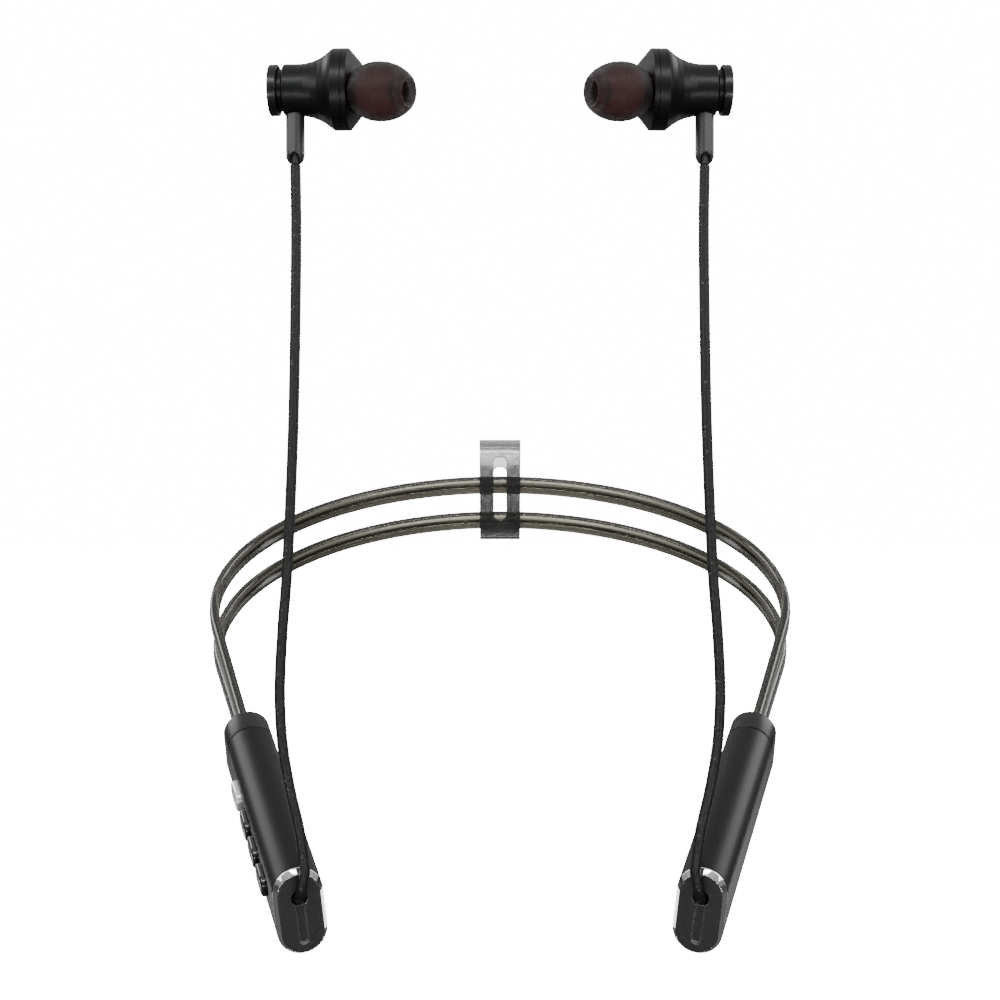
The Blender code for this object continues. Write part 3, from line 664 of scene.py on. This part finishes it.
def smooth_route(points, spacing):
    """Evenly spaced points on the smooth curve through a route's points."""
    fine = []
    steps = 60
    for index in range(len(points) - 1):
        before = points[max(index - 1, 0)]
        start = points[index]
        end = points[index + 1]
        after = points[min(index + 2, len(points) - 1)]
        for step in range(steps):
            t = step / steps
            fine.append(0.5 * (2 * start + (end - before) * t
                               + (2 * before - 5 * start + 4 * end - after) * t ** 2
                               + (3 * start - before - 3 * end + after) * t ** 3))
    fine.append(points[-1])
    fine = np.array(fine)
    reach = np.concatenate([[0], np.cumsum(np.linalg.norm(np.diff(fine, axis=0), axis=1))])
    count = int(reach[-1] / spacing) + 1
    wanted = np.linspace(0, reach[-1], count)
    even = np.stack([np.interp(wanted, reach, fine[:, axis]) for axis in range(3)], axis=1)
    return even, wanted


def carried_frames(line):
    """Two unit vectors square to a line at each point, carried along it without twisting."""
    along = np.gradient(line, axis=0)
    along /= np.linalg.norm(along, axis=1)[:, None]
    first = np.zeros_like(line)
    side = np.cross(along[0], (1.0, 0, 0))
    for index, direction in enumerate(along):
        side = side - direction * side.dot(direction)
        side /= np.linalg.norm(side)
        first[index] = side
    return first, np.cross(along, first)


def braid_relief(turn, distance):
    """Height of a round braid, 0 to 1: two sets of yarns, each passing over two and under two."""
    yarns = 12
    lay_length = 6.2 * MM
    one = yarns * (turn / (2 * pi) + distance / lay_length)
    two = yarns * (turn / (2 * pi) - distance / lay_length)
    round_one = np.sin(pi * (one % 1)) ** 0.7
    round_two = np.sin(pi * (two % 1)) ** 0.7
    over = 0.5 + 0.5 * np.sign(np.sin(pi / 2 * (np.floor(one) + np.floor(two)) + pi / 4))
    return np.maximum(round_one * (0.45 + 0.55 * over), round_two * (1 - 0.55 * over))


def cord_route(side):
    """Points from inside the pod's cord hole, round the bend at its mouth, and up to the stem."""
    pod = pod_matrix(side)
    turn = pod.to_3x3()
    ahead = (turn @ Vector((0, -1, POD_CUT))).normalized()
    up = (turn @ Vector((0, POD_CUT, 1))).normalized()
    inward = turn @ Vector((-side, 0, 0))
    rise = (up + inward * CORD_EXIT_LEAN).normalized()
    mouth = pod @ Vector((0, -POD_LENGTH + POD_CUT * HOLE_HEIGHT, HOLE_HEIGHT))
    start = mouth - ahead * CORD_START_DEPTH - rise * CORD_START_DROP
    route = []
    steps = 4
    for step in range(steps + 1):
        angle = CORD_START_RISE + (pi / 2 - CORD_START_RISE) * step / steps
        route.append(start + ahead * CORD_BEND_RADIUS * (sin(angle) - sin(CORD_START_RISE))
                     + rise * CORD_BEND_RADIUS * (cos(CORD_START_RISE) - cos(angle)))
    route.append(route[-1] + rise * CORD_EXIT_RUN)
    route += [Vector((side * x * MM, y * MM, z * MM)) for x, y, z in CORD_WAY_POINTS]
    route.append(Vector((side * BUD_X, BUD_Y, BUD_Z + STEM_BOTTOM - 0.3 * MM)))
    return np.array([tuple(point) for point in route])


def build_cord(hand, side):
    """Braided sleeve with its real relief, pod to stem."""
    line, distance = smooth_route(cord_route(side), 0.12 * MM)
    first, second = carried_frames(line)
    around = 48
    turn = np.linspace(0, 2 * pi, around, endpoint=False)
    height = braid_relief(turn[None, :], distance[:, None])
    radius = CORD_RADIUS * (0.92 + 0.16 * height)
    points = (line[:, None, :] + radius[:, :, None]
              * (np.cos(turn)[None, :, None] * first[:, None, :]
                 + np.sin(turn)[None, :, None] * second[:, None, :]))
    rings = [[tuple(point) for point in ring] for ring in points]
    cord = skin(f"braided_cord_{hand}", rings, "braid", sharp=180)
    place(cord, f"arm_{hand}", f"cord_{hand}", slot="braid")


# ---------------------------------------------------------------- band

def band_stations(side, past_pod):
    """Points and outward normals from the middle of the back to inside one pod."""
    stations = []
    steps = 64
    for step in range(steps):
        angle = pi / 2 * step / steps
        point = Vector((side * BAND_HALF_WIDTH * sin(angle), -BAND_DEPTH * (1 - cos(angle)), 0))
        normal = Vector((side * BAND_DEPTH * sin(angle), BAND_HALF_WIDTH * cos(angle), 0))
        stations.append((point, normal.normalized()))
    steps = 12
    for step in range(steps):
        turn = SIDE_LEAN * step / steps
        x = BAND_HALF_WIDTH - SIDE_BEND_RADIUS * (1 - cos(turn))
        y = -BAND_DEPTH - SIDE_BEND_RADIUS * sin(turn)
        stations.append((Vector((side * x, y, 0)), Vector((side * cos(turn), -sin(turn), 0))))
    x = BAND_HALF_WIDTH - SIDE_BEND_RADIUS * (1 - cos(SIDE_LEAN))
    y = -BAND_DEPTH - SIDE_BEND_RADIUS * sin(SIDE_LEAN)
    start = Vector((side * x, y, 0))
    normal = Vector((side * cos(SIDE_LEAN), -sin(SIDE_LEAN), 0))
    ahead = Vector((-side * sin(SIDE_LEAN), -cos(SIDE_LEAN), 0))
    steps = 16
    for step in range(steps + 1):
        stations.append((start + ahead * (SIDE_STRAIGHT + past_pod) * step / steps, normal))
    return stations


def pod_rear(side):
    x = BAND_HALF_WIDTH - SIDE_BEND_RADIUS * (1 - cos(SIDE_LEAN)) - SIDE_STRAIGHT * sin(SIDE_LEAN)
    y = -BAND_DEPTH - SIDE_BEND_RADIUS * sin(SIDE_LEAN) - SIDE_STRAIGHT * cos(SIDE_LEAN)
    return Vector((side * x, y, 0))


def strand_offset(y):
    end = pod_rear(1).y
    share = min(max((y + BAND_DEPTH) / (end + BAND_DEPTH), 0), 1)
    ease = share * share * (3 - 2 * share)
    return STRAND_OFFSET_BACK + (STRAND_OFFSET_POD - STRAND_OFFSET_BACK) * ease


def flat_oval(count, half_thick, half_tall, power):
    """A squarish oval: power 2 is an ellipse, higher is squarer."""
    points = []
    for step in range(count):
        angle = 2 * pi * step / count
        across = abs(cos(angle)) ** (2 / power) * (1 if cos(angle) >= 0 else -1)
        up = abs(sin(angle)) ** (2 / power) * (1 if sin(angle) >= 0 else -1)
        points.append((half_thick * across, half_tall * up))
    return points


def sweep(stations, level, outline):
    rings = []
    for point, normal in stations:
        centre = point + Vector((0, 0, level * strand_offset(point.y)))
        rings.append([BAND @ (centre + normal * across + Vector((0, 0, up)))
                      for across, up in outline])
    return rings


def store_straight(piece, stations, outlines):
    """Store each vertex's place on the straightened strand, for streaks that run along it."""
    reach = [0.0]
    for (before, _), (here, _) in zip(stations, stations[1:]):
        reach.append(reach[-1] + (here - before).length)
    values = []
    for outline, order in zip(outlines, (reach, reach[::-1])):
        for length in order:
            for across, up in outline:
                values += [across, up, length]
    layer = piece.data.attributes.new("straight", "FLOAT_VECTOR", "POINT")
    layer.data.foreach_set("vector", values)


def build_strands():
    """Each strand in two halves, one for each side; the lumen shows as fine lines."""
    skin_outline = flat_oval(40, STRAND_HALF_THICK, STRAND_HALF_TALL, 2.7)
    lumen = flat_oval(40, LUMEN_RADIUS, LUMEN_RADIUS, 2)
    wire = flat_oval(16, WIRE_RADIUS, WIRE_RADIUS, 2)
    seam = 3.9 * MM
    for hand, side in SIDES:
        stations = band_stations(side, STRAND_IN_POD)
        longer = band_stations(side, CORE_IN_POD)
        if side > 0:
            stations = [item for item in stations if item[0].x > seam]
            longer = [item for item in longer if item[0].x > seam]
        else:
            bridge = [(Vector((-item[0].x, item[0].y, 0)), Vector((-item[1].x, item[1].y, 0)))
                      for item in stations if -seam - 1.5 * MM < item[0].x < 0]
            stations = bridge[::-1] + stations
            longer = bridge[::-1] + longer
        for word, level, inside, look in (("upper", 1, "memory_wire", "wire"),
                                          ("lower", -1, "signal_lead", "copper")):
            rings = sweep(stations, level, skin_outline)
            holes = sweep(stations, level, lumen)
            strand = skin(f"{word}_strand_{hand}", rings + holes[::-1], "smoky", looped=True)
            store_straight(strand, stations, (skin_outline, lumen))
            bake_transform(strand)
            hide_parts(f"strand_{word}_{hand}", f"strand_{word}_back")
            core = skin(f"{word}_core_{hand}", sweep(longer, level, wire), look)
            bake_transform(core)
            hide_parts(f"{inside}_{hand}", f"{inside}_back")


def build_clip():
    """The folded smoky sheet, with softened rims and a long slot through both plates."""
    room = CLIP_ROOM
    outer = room + CLIP_SHEET
    lip = CLIP_LIP
    lip_top = CLIP_BOTTOM + CLIP_LIP_TALL
    fold = CLIP_TOP - outer
    steps = 28
    outline = [(-outer, CLIP_BOTTOM)]
    outline += [(-outer * cos(pi * step / steps), fold + outer * sin(pi * step / steps))
                for step in range(steps + 1)]
    outline += [(outer, CLIP_BOTTOM), (lip, CLIP_BOTTOM), (lip, lip_top), (room, lip_top + lip)]
    outline += [(room * cos(pi * step / steps), fold + room * sin(pi * step / steps))
                for step in range(steps + 1)]
    outline += [(-room, lip_top + lip), (-lip, lip_top), (-lip, CLIP_BOTTOM)]
    rings = [[(x, y, z) for y, z in outline] for x in (-CLIP_HALF_WIDE, CLIP_HALF_WIDE)]
    clip = skin("clip_sheet", rings, "smoky_clip")
    cutters = []
    for word, (bottom, top), reach in (("front", CLIP_FRONT_SLOT, -2 * outer),
                                       ("rear", CLIP_REAR_SLOT, 2 * outer)):
        slot = []
        for centre, start in ((top - CLIP_SLOT_HALF, 0), (bottom + CLIP_SLOT_HALF, pi)):
            for step in range(25):
                angle = start + pi * step / 24
                slot.append((CLIP_SLOT_HALF * cos(angle), centre + CLIP_SLOT_HALF * sin(angle)))
        cutters.append(skin(f"clip_slot_{word}", [[(x, y, z) for x, z in slot] for y in (0, reach)],
                            "smoky_clip"))
    carve(clip, cutters, bevel=0.14 * MM, segments=3)
    clip.data.transform(BAND)
    place(clip, "clip", "clip", slot="smoky")


# ---------------------------------------------------------------- pods

def pod_matrix(side):
    return BAND @ Matrix.Translation(pod_rear(side)) @ Matrix.Rotation(-side * POD_LEAN, 4, "Z")


def stadium(inset, forward, slanted, steps=32, half_u=None, half_v=None, height=0.0):
    """A stadium outline across the pod, inset from its skin, `forward` of its rear end."""
    half_u = POD_HALF_WIDE - inset if half_u is None else half_u
    half_v = POD_HALF_TALL - inset if half_v is None else half_v
    flat = half_v - half_u
    ring = []
    for end in (1, -1):
        for step in range(steps + 1):
            angle = pi * step / steps + (0 if end > 0 else pi)
            x = half_u * cos(angle)
            z = end * flat + half_u * sin(angle) + height
            ring.append((x, -forward + (POD_CUT * z if slanted else 0), z))
    return ring


def circle(radius, count):
    return [(radius * cos(2 * pi * step / count), radius * sin(2 * pi * step / count))
            for step in range(count)]


def key_outline(half_long, half_tall, steps=8):
    """A rounded oblong across a key, with full round ends to its short sides."""
    radius = min(half_long, half_tall) * 0.9
    points = []
    for quarter in range(4):
        sign_u = 1 if quarter in (0, 3) else -1
        sign_v = 1 if quarter < 2 else -1
        for step in range(steps + 1):
            angle = pi / 2 * (quarter + step / steps)
            points.append((sign_u * (half_long - radius) + radius * cos(angle),
                           sign_v * (half_tall - radius) + radius * sin(angle)))
    return points


def key_rings(sizes, forward, side):
    return [[(side * reach, -forward + y, z) for y, z in key_outline(half_long, half_tall)]
            for half_long, half_tall, reach in sizes]


def build_pod(hand, side):
    """Tube, rear cap, bezel, face plate and gland of one pod."""
    body = f"arm_{hand}"
    matrix = pod_matrix(side)
    build_tube(hand, side, body, matrix)
    build_cap(hand, body, matrix)
    build_face(hand, body, matrix)


def build_tube(hand, side, body, matrix):
    """The metal tube; the key pod's is cut for its keys, port, microphone and status light."""
    rear = CAP_LENGTH + POD_GAP
    front = POD_LENGTH - BEZEL_LENGTH - POD_GAP
    rings = [stadium(0.12 * MM, rear, False), stadium(0.035 * MM, rear + 0.035 * MM, False),
             stadium(0, rear + 0.12 * MM, False)]
    rings += [stadium(0, front - 0.12 * MM, True), stadium(0.035 * MM, front - 0.035 * MM, True),
              stadium(0.12 * MM, front, True), stadium(POD_WALL, front, True),
              stadium(POD_WALL, rear, False)]
    shell = skin(f"{hand}_pod_tube", rings, "black_metal", looped=True)
    if hand == "right":
        cutters = []
        for number, forward in enumerate(BUTTON_PLACES):
            half_long = BUTTON_HALF_LONG + BUTTON_ROOM
            half_tall = BUTTON_HALF_TALL + BUTTON_ROOM
            reach = [(half_long, half_tall, POD_HALF_WIDE + step) for step in (-2 * MM, 2 * MM)]
            cutters.append(skin(f"key_cut_{number}", key_rings(reach, forward, side), "black_metal"))
        port = [[(x, -40 * MM + y, z) for y, x in key_outline(4.6 * MM, 1.7 * MM)]
                for z in (-11 * MM, -7 * MM)]
        cutters.append(skin("port_cut", port, "black_metal"))
        for forward, radius, name in ((52.5, 0.4, "mic_cut"), (32.5, 0.7, "light_cut")):
            rim = circle(radius * MM, 24)
            hole = [[(x, y - forward * MM, z) for x, y in rim] for z in (-11 * MM, -7.6 * MM)]
            cutters.append(skin(name, hole, "black_metal"))
        carve(shell, cutters, bevel=0.1 * MM)
    shell.data.transform(matrix)
    place(shell, body, f"pod_{hand}_shell", slot="black_metal")


def build_cap(hand, body, matrix):
    """The dark translucent cap at the pod's rear end, cut for the two strands."""
    dome = CAP_DOME
    rings = []
    for step in range(11):
        angle = pi / 2 * step / 10
        rings.append(stadium(dome * (1 - sin(angle)), dome * (1 - cos(angle)), False))
    rings += [stadium(0, CAP_LENGTH - 0.1 * MM, False), stadium(0.1 * MM, CAP_LENGTH, False),
              stadium(CAP_WALL, CAP_LENGTH, False), stadium(CAP_WALL, 2 * CAP_WALL, False),
              stadium(CAP_WALL * 1.5, 1.9 * MM, False)]
    cap = skin(f"{hand}_pod_cap", rings, "dark_clear")
    cutters = []
    for level in (1, -1):
        outline = flat_oval(40, STRAND_HALF_THICK + 0.2 * MM, STRAND_HALF_TALL + 0.2 * MM, 2.7)
        slot = [[(x, -forward, z + level * STRAND_OFFSET_POD) for x, z in outline]
                for forward in (-3 * MM, 3 * MM)]
        cutters.append(skin(f"cap_cut_{level}", slot, "dark_clear"))
    carve(cap, cutters, bevel=0.12 * MM)
    cap.data.transform(matrix)
    place(cap, body, f"pod_{hand}_rear_cap", slot="dark_clear", even=False)


def build_face(hand, body, matrix):
    """Chrome bezel, matt face plate with its cord hole and groove, and the cord's gland."""
    base = POD_LENGTH - BEZEL_LENGTH
    profile = softened([(0.0, base), (0.0, POD_LENGTH - 0.95 * MM), (0.78 * MM, POD_LENGTH),
                        (0.84 * MM, POD_LENGTH), (0.84 * MM, base)], 0.05 * MM, closed=True)
    bezel = skin(f"{hand}_pod_bezel", [stadium(inset, forward, True, 48) for inset, forward in profile],
                 "chrome", looped=True, matrix=matrix, sharp=60)
    place(bezel, body, f"pod_{hand}_bezel", slot="chrome")

    edge = 0.05 * MM
    rings = [stadium(PLATE_INSET, POD_LENGTH - PLATE_THICK, True, 48),
             stadium(PLATE_INSET, POD_LENGTH - edge, True, 48),
             stadium(PLATE_INSET + edge, POD_LENGTH, True, 48)]
    plate = skin(f"{hand}_pod_face", rings, "matt_black")
    rim = [(x, HOLE_HEIGHT + z) for x, z in circle(HOLE_RADIUS, 40)]
    hole = [[(x, -forward + POD_CUT * z, z) for x, z in rim]
            for forward in (POD_LENGTH - 2 * PLATE_THICK, POD_LENGTH + PLATE_THICK)]
    groove = [stadium(0, forward, True, 16, half_u=GROOVE_HALF_WIDE, half_v=(HOLE_HEIGHT - GROOVE_FOOT) / 2,
                      height=(HOLE_HEIGHT + GROOVE_FOOT) / 2)
              for forward in (POD_LENGTH - GROOVE_DEPTH, POD_LENGTH + PLATE_THICK)]
    # Painted highlight: the bevelled rims of the hole, the groove and the plate take the brighter rim
    # material.
    carve(plate, [skin("hole_cut", hole, "matt_black"), skin("groove_cut", groove, "matt_black")],
          bevel=0.16 * MM, segments=3, rim="painted_highlight_rim")
    plate.data.transform(matrix)
    flatten_large_faces(plate, 0.000001)
    place(plate, body, f"pod_{hand}_face_plate", slot="matt_black", even=False)

    rows = softened([(0.03, 3.0), (2.4, 3.0), (2.4, 1.9), (1.58, 1.9), (1.52, 1.1), (1.3, 0.95),
                     (1.14, 1.5), (1.14, 2.3), (0.03, 2.3)], 0.12)
    rings = []
    for radius, depth in rows:
        rim = [(x, HOLE_HEIGHT + z) for x, z in circle(radius * MM, 48)]
        rings.append([(x, depth * MM - POD_LENGTH + POD_CUT * z, z) for x, z in rim])
    gland = skin(f"{hand}_cord_gland", rings, "rubber", matrix=matrix)
    place(gland, body, f"pod_{hand}_cord_gland", slot="rubber")


def build_keys():
    """Four domed keys; the first is bright, the others gloss black."""
    side = -1
    matrix = pod_matrix(side)
    top = POD_HALF_WIDE + BUTTON_PROUD
    inner = POD_HALF_WIDE - POD_WALL - POD_GAP
    long, tall = BUTTON_HALF_LONG, BUTTON_HALF_TALL
    for number, forward in enumerate(BUTTON_PLACES, start=1):
        sizes = [(BUTTON_STEM, BUTTON_STEM, inner - 1.5 * MM),
                 (BUTTON_STEM, BUTTON_STEM, inner - BUTTON_FLANGE),
                 (long + 0.4 * MM, tall + 0.4 * MM, inner - BUTTON_FLANGE),
                 (long + 0.4 * MM, tall + 0.4 * MM, inner),
                 (long, tall, inner), (long, tall, top - BUTTON_CROWN)]
        for step in range(1, 9):
            angle = pi / 2 * step / 8
            shrink = 0.9 * MM * (1 - cos(angle))
            sizes.append((long - shrink, tall - shrink, top - BUTTON_CROWN + 0.6 * MM * sin(angle)))
        sizes.append((long - 1.6 * MM, tall - 1.5 * MM, top - 0.06 * MM))
        sizes.append((long - 2.4 * MM, tall - 2.1 * MM, top))
        look = "bright_key" if number == 1 else "gloss_black"
        key = skin(f"key_{number}", key_rings(sizes, forward, side), look, matrix=matrix)
        place(key, f"button_{number}", f"button_{number}",
              slot="chrome" if number == 1 else "gloss_black")


# ---------------------------------------------------------------- earbuds

def axis_matrix(side, yaw, dip):
    """Turns local z inward, then forward by yaw and down by dip."""
    along = Vector((-side * cos(yaw) * cos(dip), -sin(yaw) * cos(dip), -sin(dip)))
    across = Vector((0, 0, 1)).cross(along).normalized()
    return Matrix((across, along.cross(across), along)).transposed().to_4x4()


def turned_rings(profile, segments=96):
    """Rings about local z from (radius, height) in millimetres."""
    return [[(x, y, height * MM) for x, y in circle(radius * MM, segments)]
            for radius, height in profile]


def build_bud(hand, side):
    """End cap, two shells, nozzle gauze, silicone tip and stem of one earbud."""
    body = f"bud_{hand}"
    stem = Matrix.Translation((side * BUD_X, BUD_Y, BUD_Z))
    line = stem @ axis_matrix(side, BODY_YAW, 0)
    pivot = Matrix.Translation(line @ Vector((0, 0, NOZZLE_PIVOT)))
    nozzle = pivot @ axis_matrix(side, NOZZLE_YAW, NOZZLE_DIP)

    cap = softened([(0.05, -4.93), (3.85, -4.93), (4.1, -5.05), (5.08, -5.05), (5.08, -3.3), (4.5, -3.3),
                    (4.4, -4.4), (0.05, -4.4)], 0.2)
    place(lathe(f"{hand}_bud_cap", cap, "turned_metal", line), body, f"bud_{hand}_cap", slot="black_metal")

    rear = softened([(4.15, -4.2), (4.15, -2.4), (4.8, -2.3), (5.12, -1.95), (5.12, 1.0), (5.22, 2.2),
                     (5.55, 3.6), (6.15, 5.1), (6.9, 6.35), (7.75, 7.4), (8.1, 7.95), (8.1, 9.97),
                     (7.35, 9.97), (7.3, 8.1), (5.3, 5.6), (4.4, 3.4), (3.65, 1.7), (3.65, -4.2)],
                    0.07, closed=True)
    shell = lathe(f"{hand}_bud_shell", rear, "bud_metal", line, looped=True)
    place(shell, body, f"bud_{hand}_rear_shell", slot="black_metal")

    front = softened([(0.05, 13.95), (4.5, 13.9), (5.3, 13.4), (8.1, 11.05), (8.1, 10.03),
                      (0.05, 10.03)], 0.08)
    shell = lathe(f"{hand}_bud_front", front, "bud_metal", line)
    tube = softened([(0.05, 11.0), (2.7, 11.0), (2.7, 17.0), (2.95, 17.25), (2.95, 18.0), (2.6, 18.4),
                     (0.05, 18.4)], 0.12)
    joiner = skin("nozzle_tube", turned_rings(tube), "bud_metal", matrix=nozzle)
    join_on(shell, joiner)
    cavity = skin("cavity_cut", turned_rings([(7.3, 9.5), (7.3, 10.8), (4.9, 12.7), (4.3, 13.0)]),
                  "bud_metal", matrix=line)
    bore = skin("bore_cut", turned_rings([(1.9, 10.0), (1.9, 19.0)], 64), "bud_metal", matrix=nozzle)
    carve(shell, [cavity, bore])
    place(shell, body, f"bud_{hand}_front_shell", slot="black_metal")

    gauze = softened([(0.05, 17.95), (1.5, 17.9), (1.62, 17.8), (1.62, 17.5), (0.05, 17.5)], 0.05)
    place(lathe(f"{hand}_gauze", gauze, "gauze", nozzle, segments=48), body,
          f"bud_{hand}_nozzle_mesh", slot="steel")
    build_tip(hand, nozzle)
    build_stem(hand, side, stem)


def build_tip(hand, nozzle):
    """Silicone tip: a smoky skirt over a dark red core that grips the nozzle."""
    skirt = softened([(4.15, 12.45), (4.95, 13.7), (5.6, 15.3), (5.85, 17.3), (5.72, 19.2), (5.2, 21.1),
                      (4.35, 22.75), (3.55, 23.7), (2.95, 24.15), (2.5, 23.9), (2.2, 22.9), (2.15, 21.0),
                      (2.6, 21.0), (2.8, 22.2), (3.3, 22.5), (4.3, 21.3), (4.95, 19.5), (5.3, 17.3),
                      (5.05, 15.4), (4.4, 13.9), (3.75, 12.6)],
                     0.6, steps=6, closed=True)
    tip = lathe(f"{hand}_tip_skirt", skirt, "silicone", nozzle, looped=True, sharp=80)
    place(tip, f"tip_{hand}", f"ear_tip_{hand}", slot="silicone")
    core = softened([(3.25, 14.3), (3.95, 14.3), (4.5, 16.3), (4.5, 18.8), (3.9, 20.2), (2.7, 20.7),
                     (2.1, 20.7), (2.0, 19.3), (3.25, 18.75)], 0.5, steps=5, closed=True)
    sleeve = lathe(f"{hand}_tip_core", core, "maroon", nozzle, looped=True, segments=72, sharp=80)
    place(sleeve, f"tip_{hand}", slot="silicone")


def build_stem(hand, side, stem):
    """The stem: a post with a flat front, and a notch at its foot where the cord's collar shows."""

    def faced(angle, radius, height):
        """Flatten a strip that looks forward and a little outward."""
        ahead = cos(angle + pi / 2 - side * FACET_TURN)
        on_post = radius > 1 and height > FACET_FOOT
        return FACET / ahead if on_post and ahead > FACET else 1.0

    post = softened([(0.05, -4.2), (1.9, -4.2), (1.9, -12.4), (1.9, -12.5), (1.9, -13.2), (1.68, -14.1),
                     (1.2, -14.75), (0.05, -14.75)], 0.35, steps=6)
    piece = lathe(f"{hand}_stem_post", post, "stem_plastic", stem, segments=120, shape=faced, sharp=20)
    arch = [(-NOTCH_HALF * cos(pi * k / 12), NOTCH_TOP + NOTCH_HALF * sin(pi * k / 12)) for k in range(13)]
    notch = [(x * MM, z * MM) for x, z in [(-NOTCH_HALF, -16.0)] + arch + [(NOTCH_HALF, -16.0)]]
    slot = skin("notch_cut", [[stem @ Vector((x, y, z)) for x, z in notch] for y in (-3 * MM, -0.4 * MM)],
                "stem_plastic")
    bore = skin("cord_cut", turned_rings([(1.12, -16.0), (1.12, -11.6)], 40), "stem_plastic", matrix=stem)
    carve(piece, [slot, bore], bevel=0.08 * MM)
    place(piece, f"bud_{hand}", f"bud_{hand}_stem", slot="black_metal")
    collar = softened([(0.05, -11.7), (0.6, -11.75), (1.05, -12.3), (1.08, -13.6), (1.0, -14.95),
                       (0.05, -14.95)], 0.2)
    relief = lathe(f"{hand}_stem_relief", collar, "rubber", stem, segments=40)
    place(relief, f"bud_{hand}", slot="rubber")


def dress_frame():
    """Materials for the CAD pieces that keep their own shape, most of them hidden inside."""
    finishes = {"battery": "foil", "main_board": "board", "charging_port": "steel",
                "microphone": "steel", "status_light": "smoky_clip"}
    for name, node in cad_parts.items():
        look = finishes.get(name)
        if name.startswith("switch") or name.endswith(("magnet", "driver")):
            look = "steel"
        if look:
            for slot in node.material_slots:
                slot.material = LOOKS[look]


build_camera()
build_room()
build_lamps()
build_floor()
for hand, side in SIDES:
    build_cord(hand, side)
    build_pod(hand, side)
    build_bud(hand, side)
build_strands()
build_clip()
build_keys()
dress_frame()
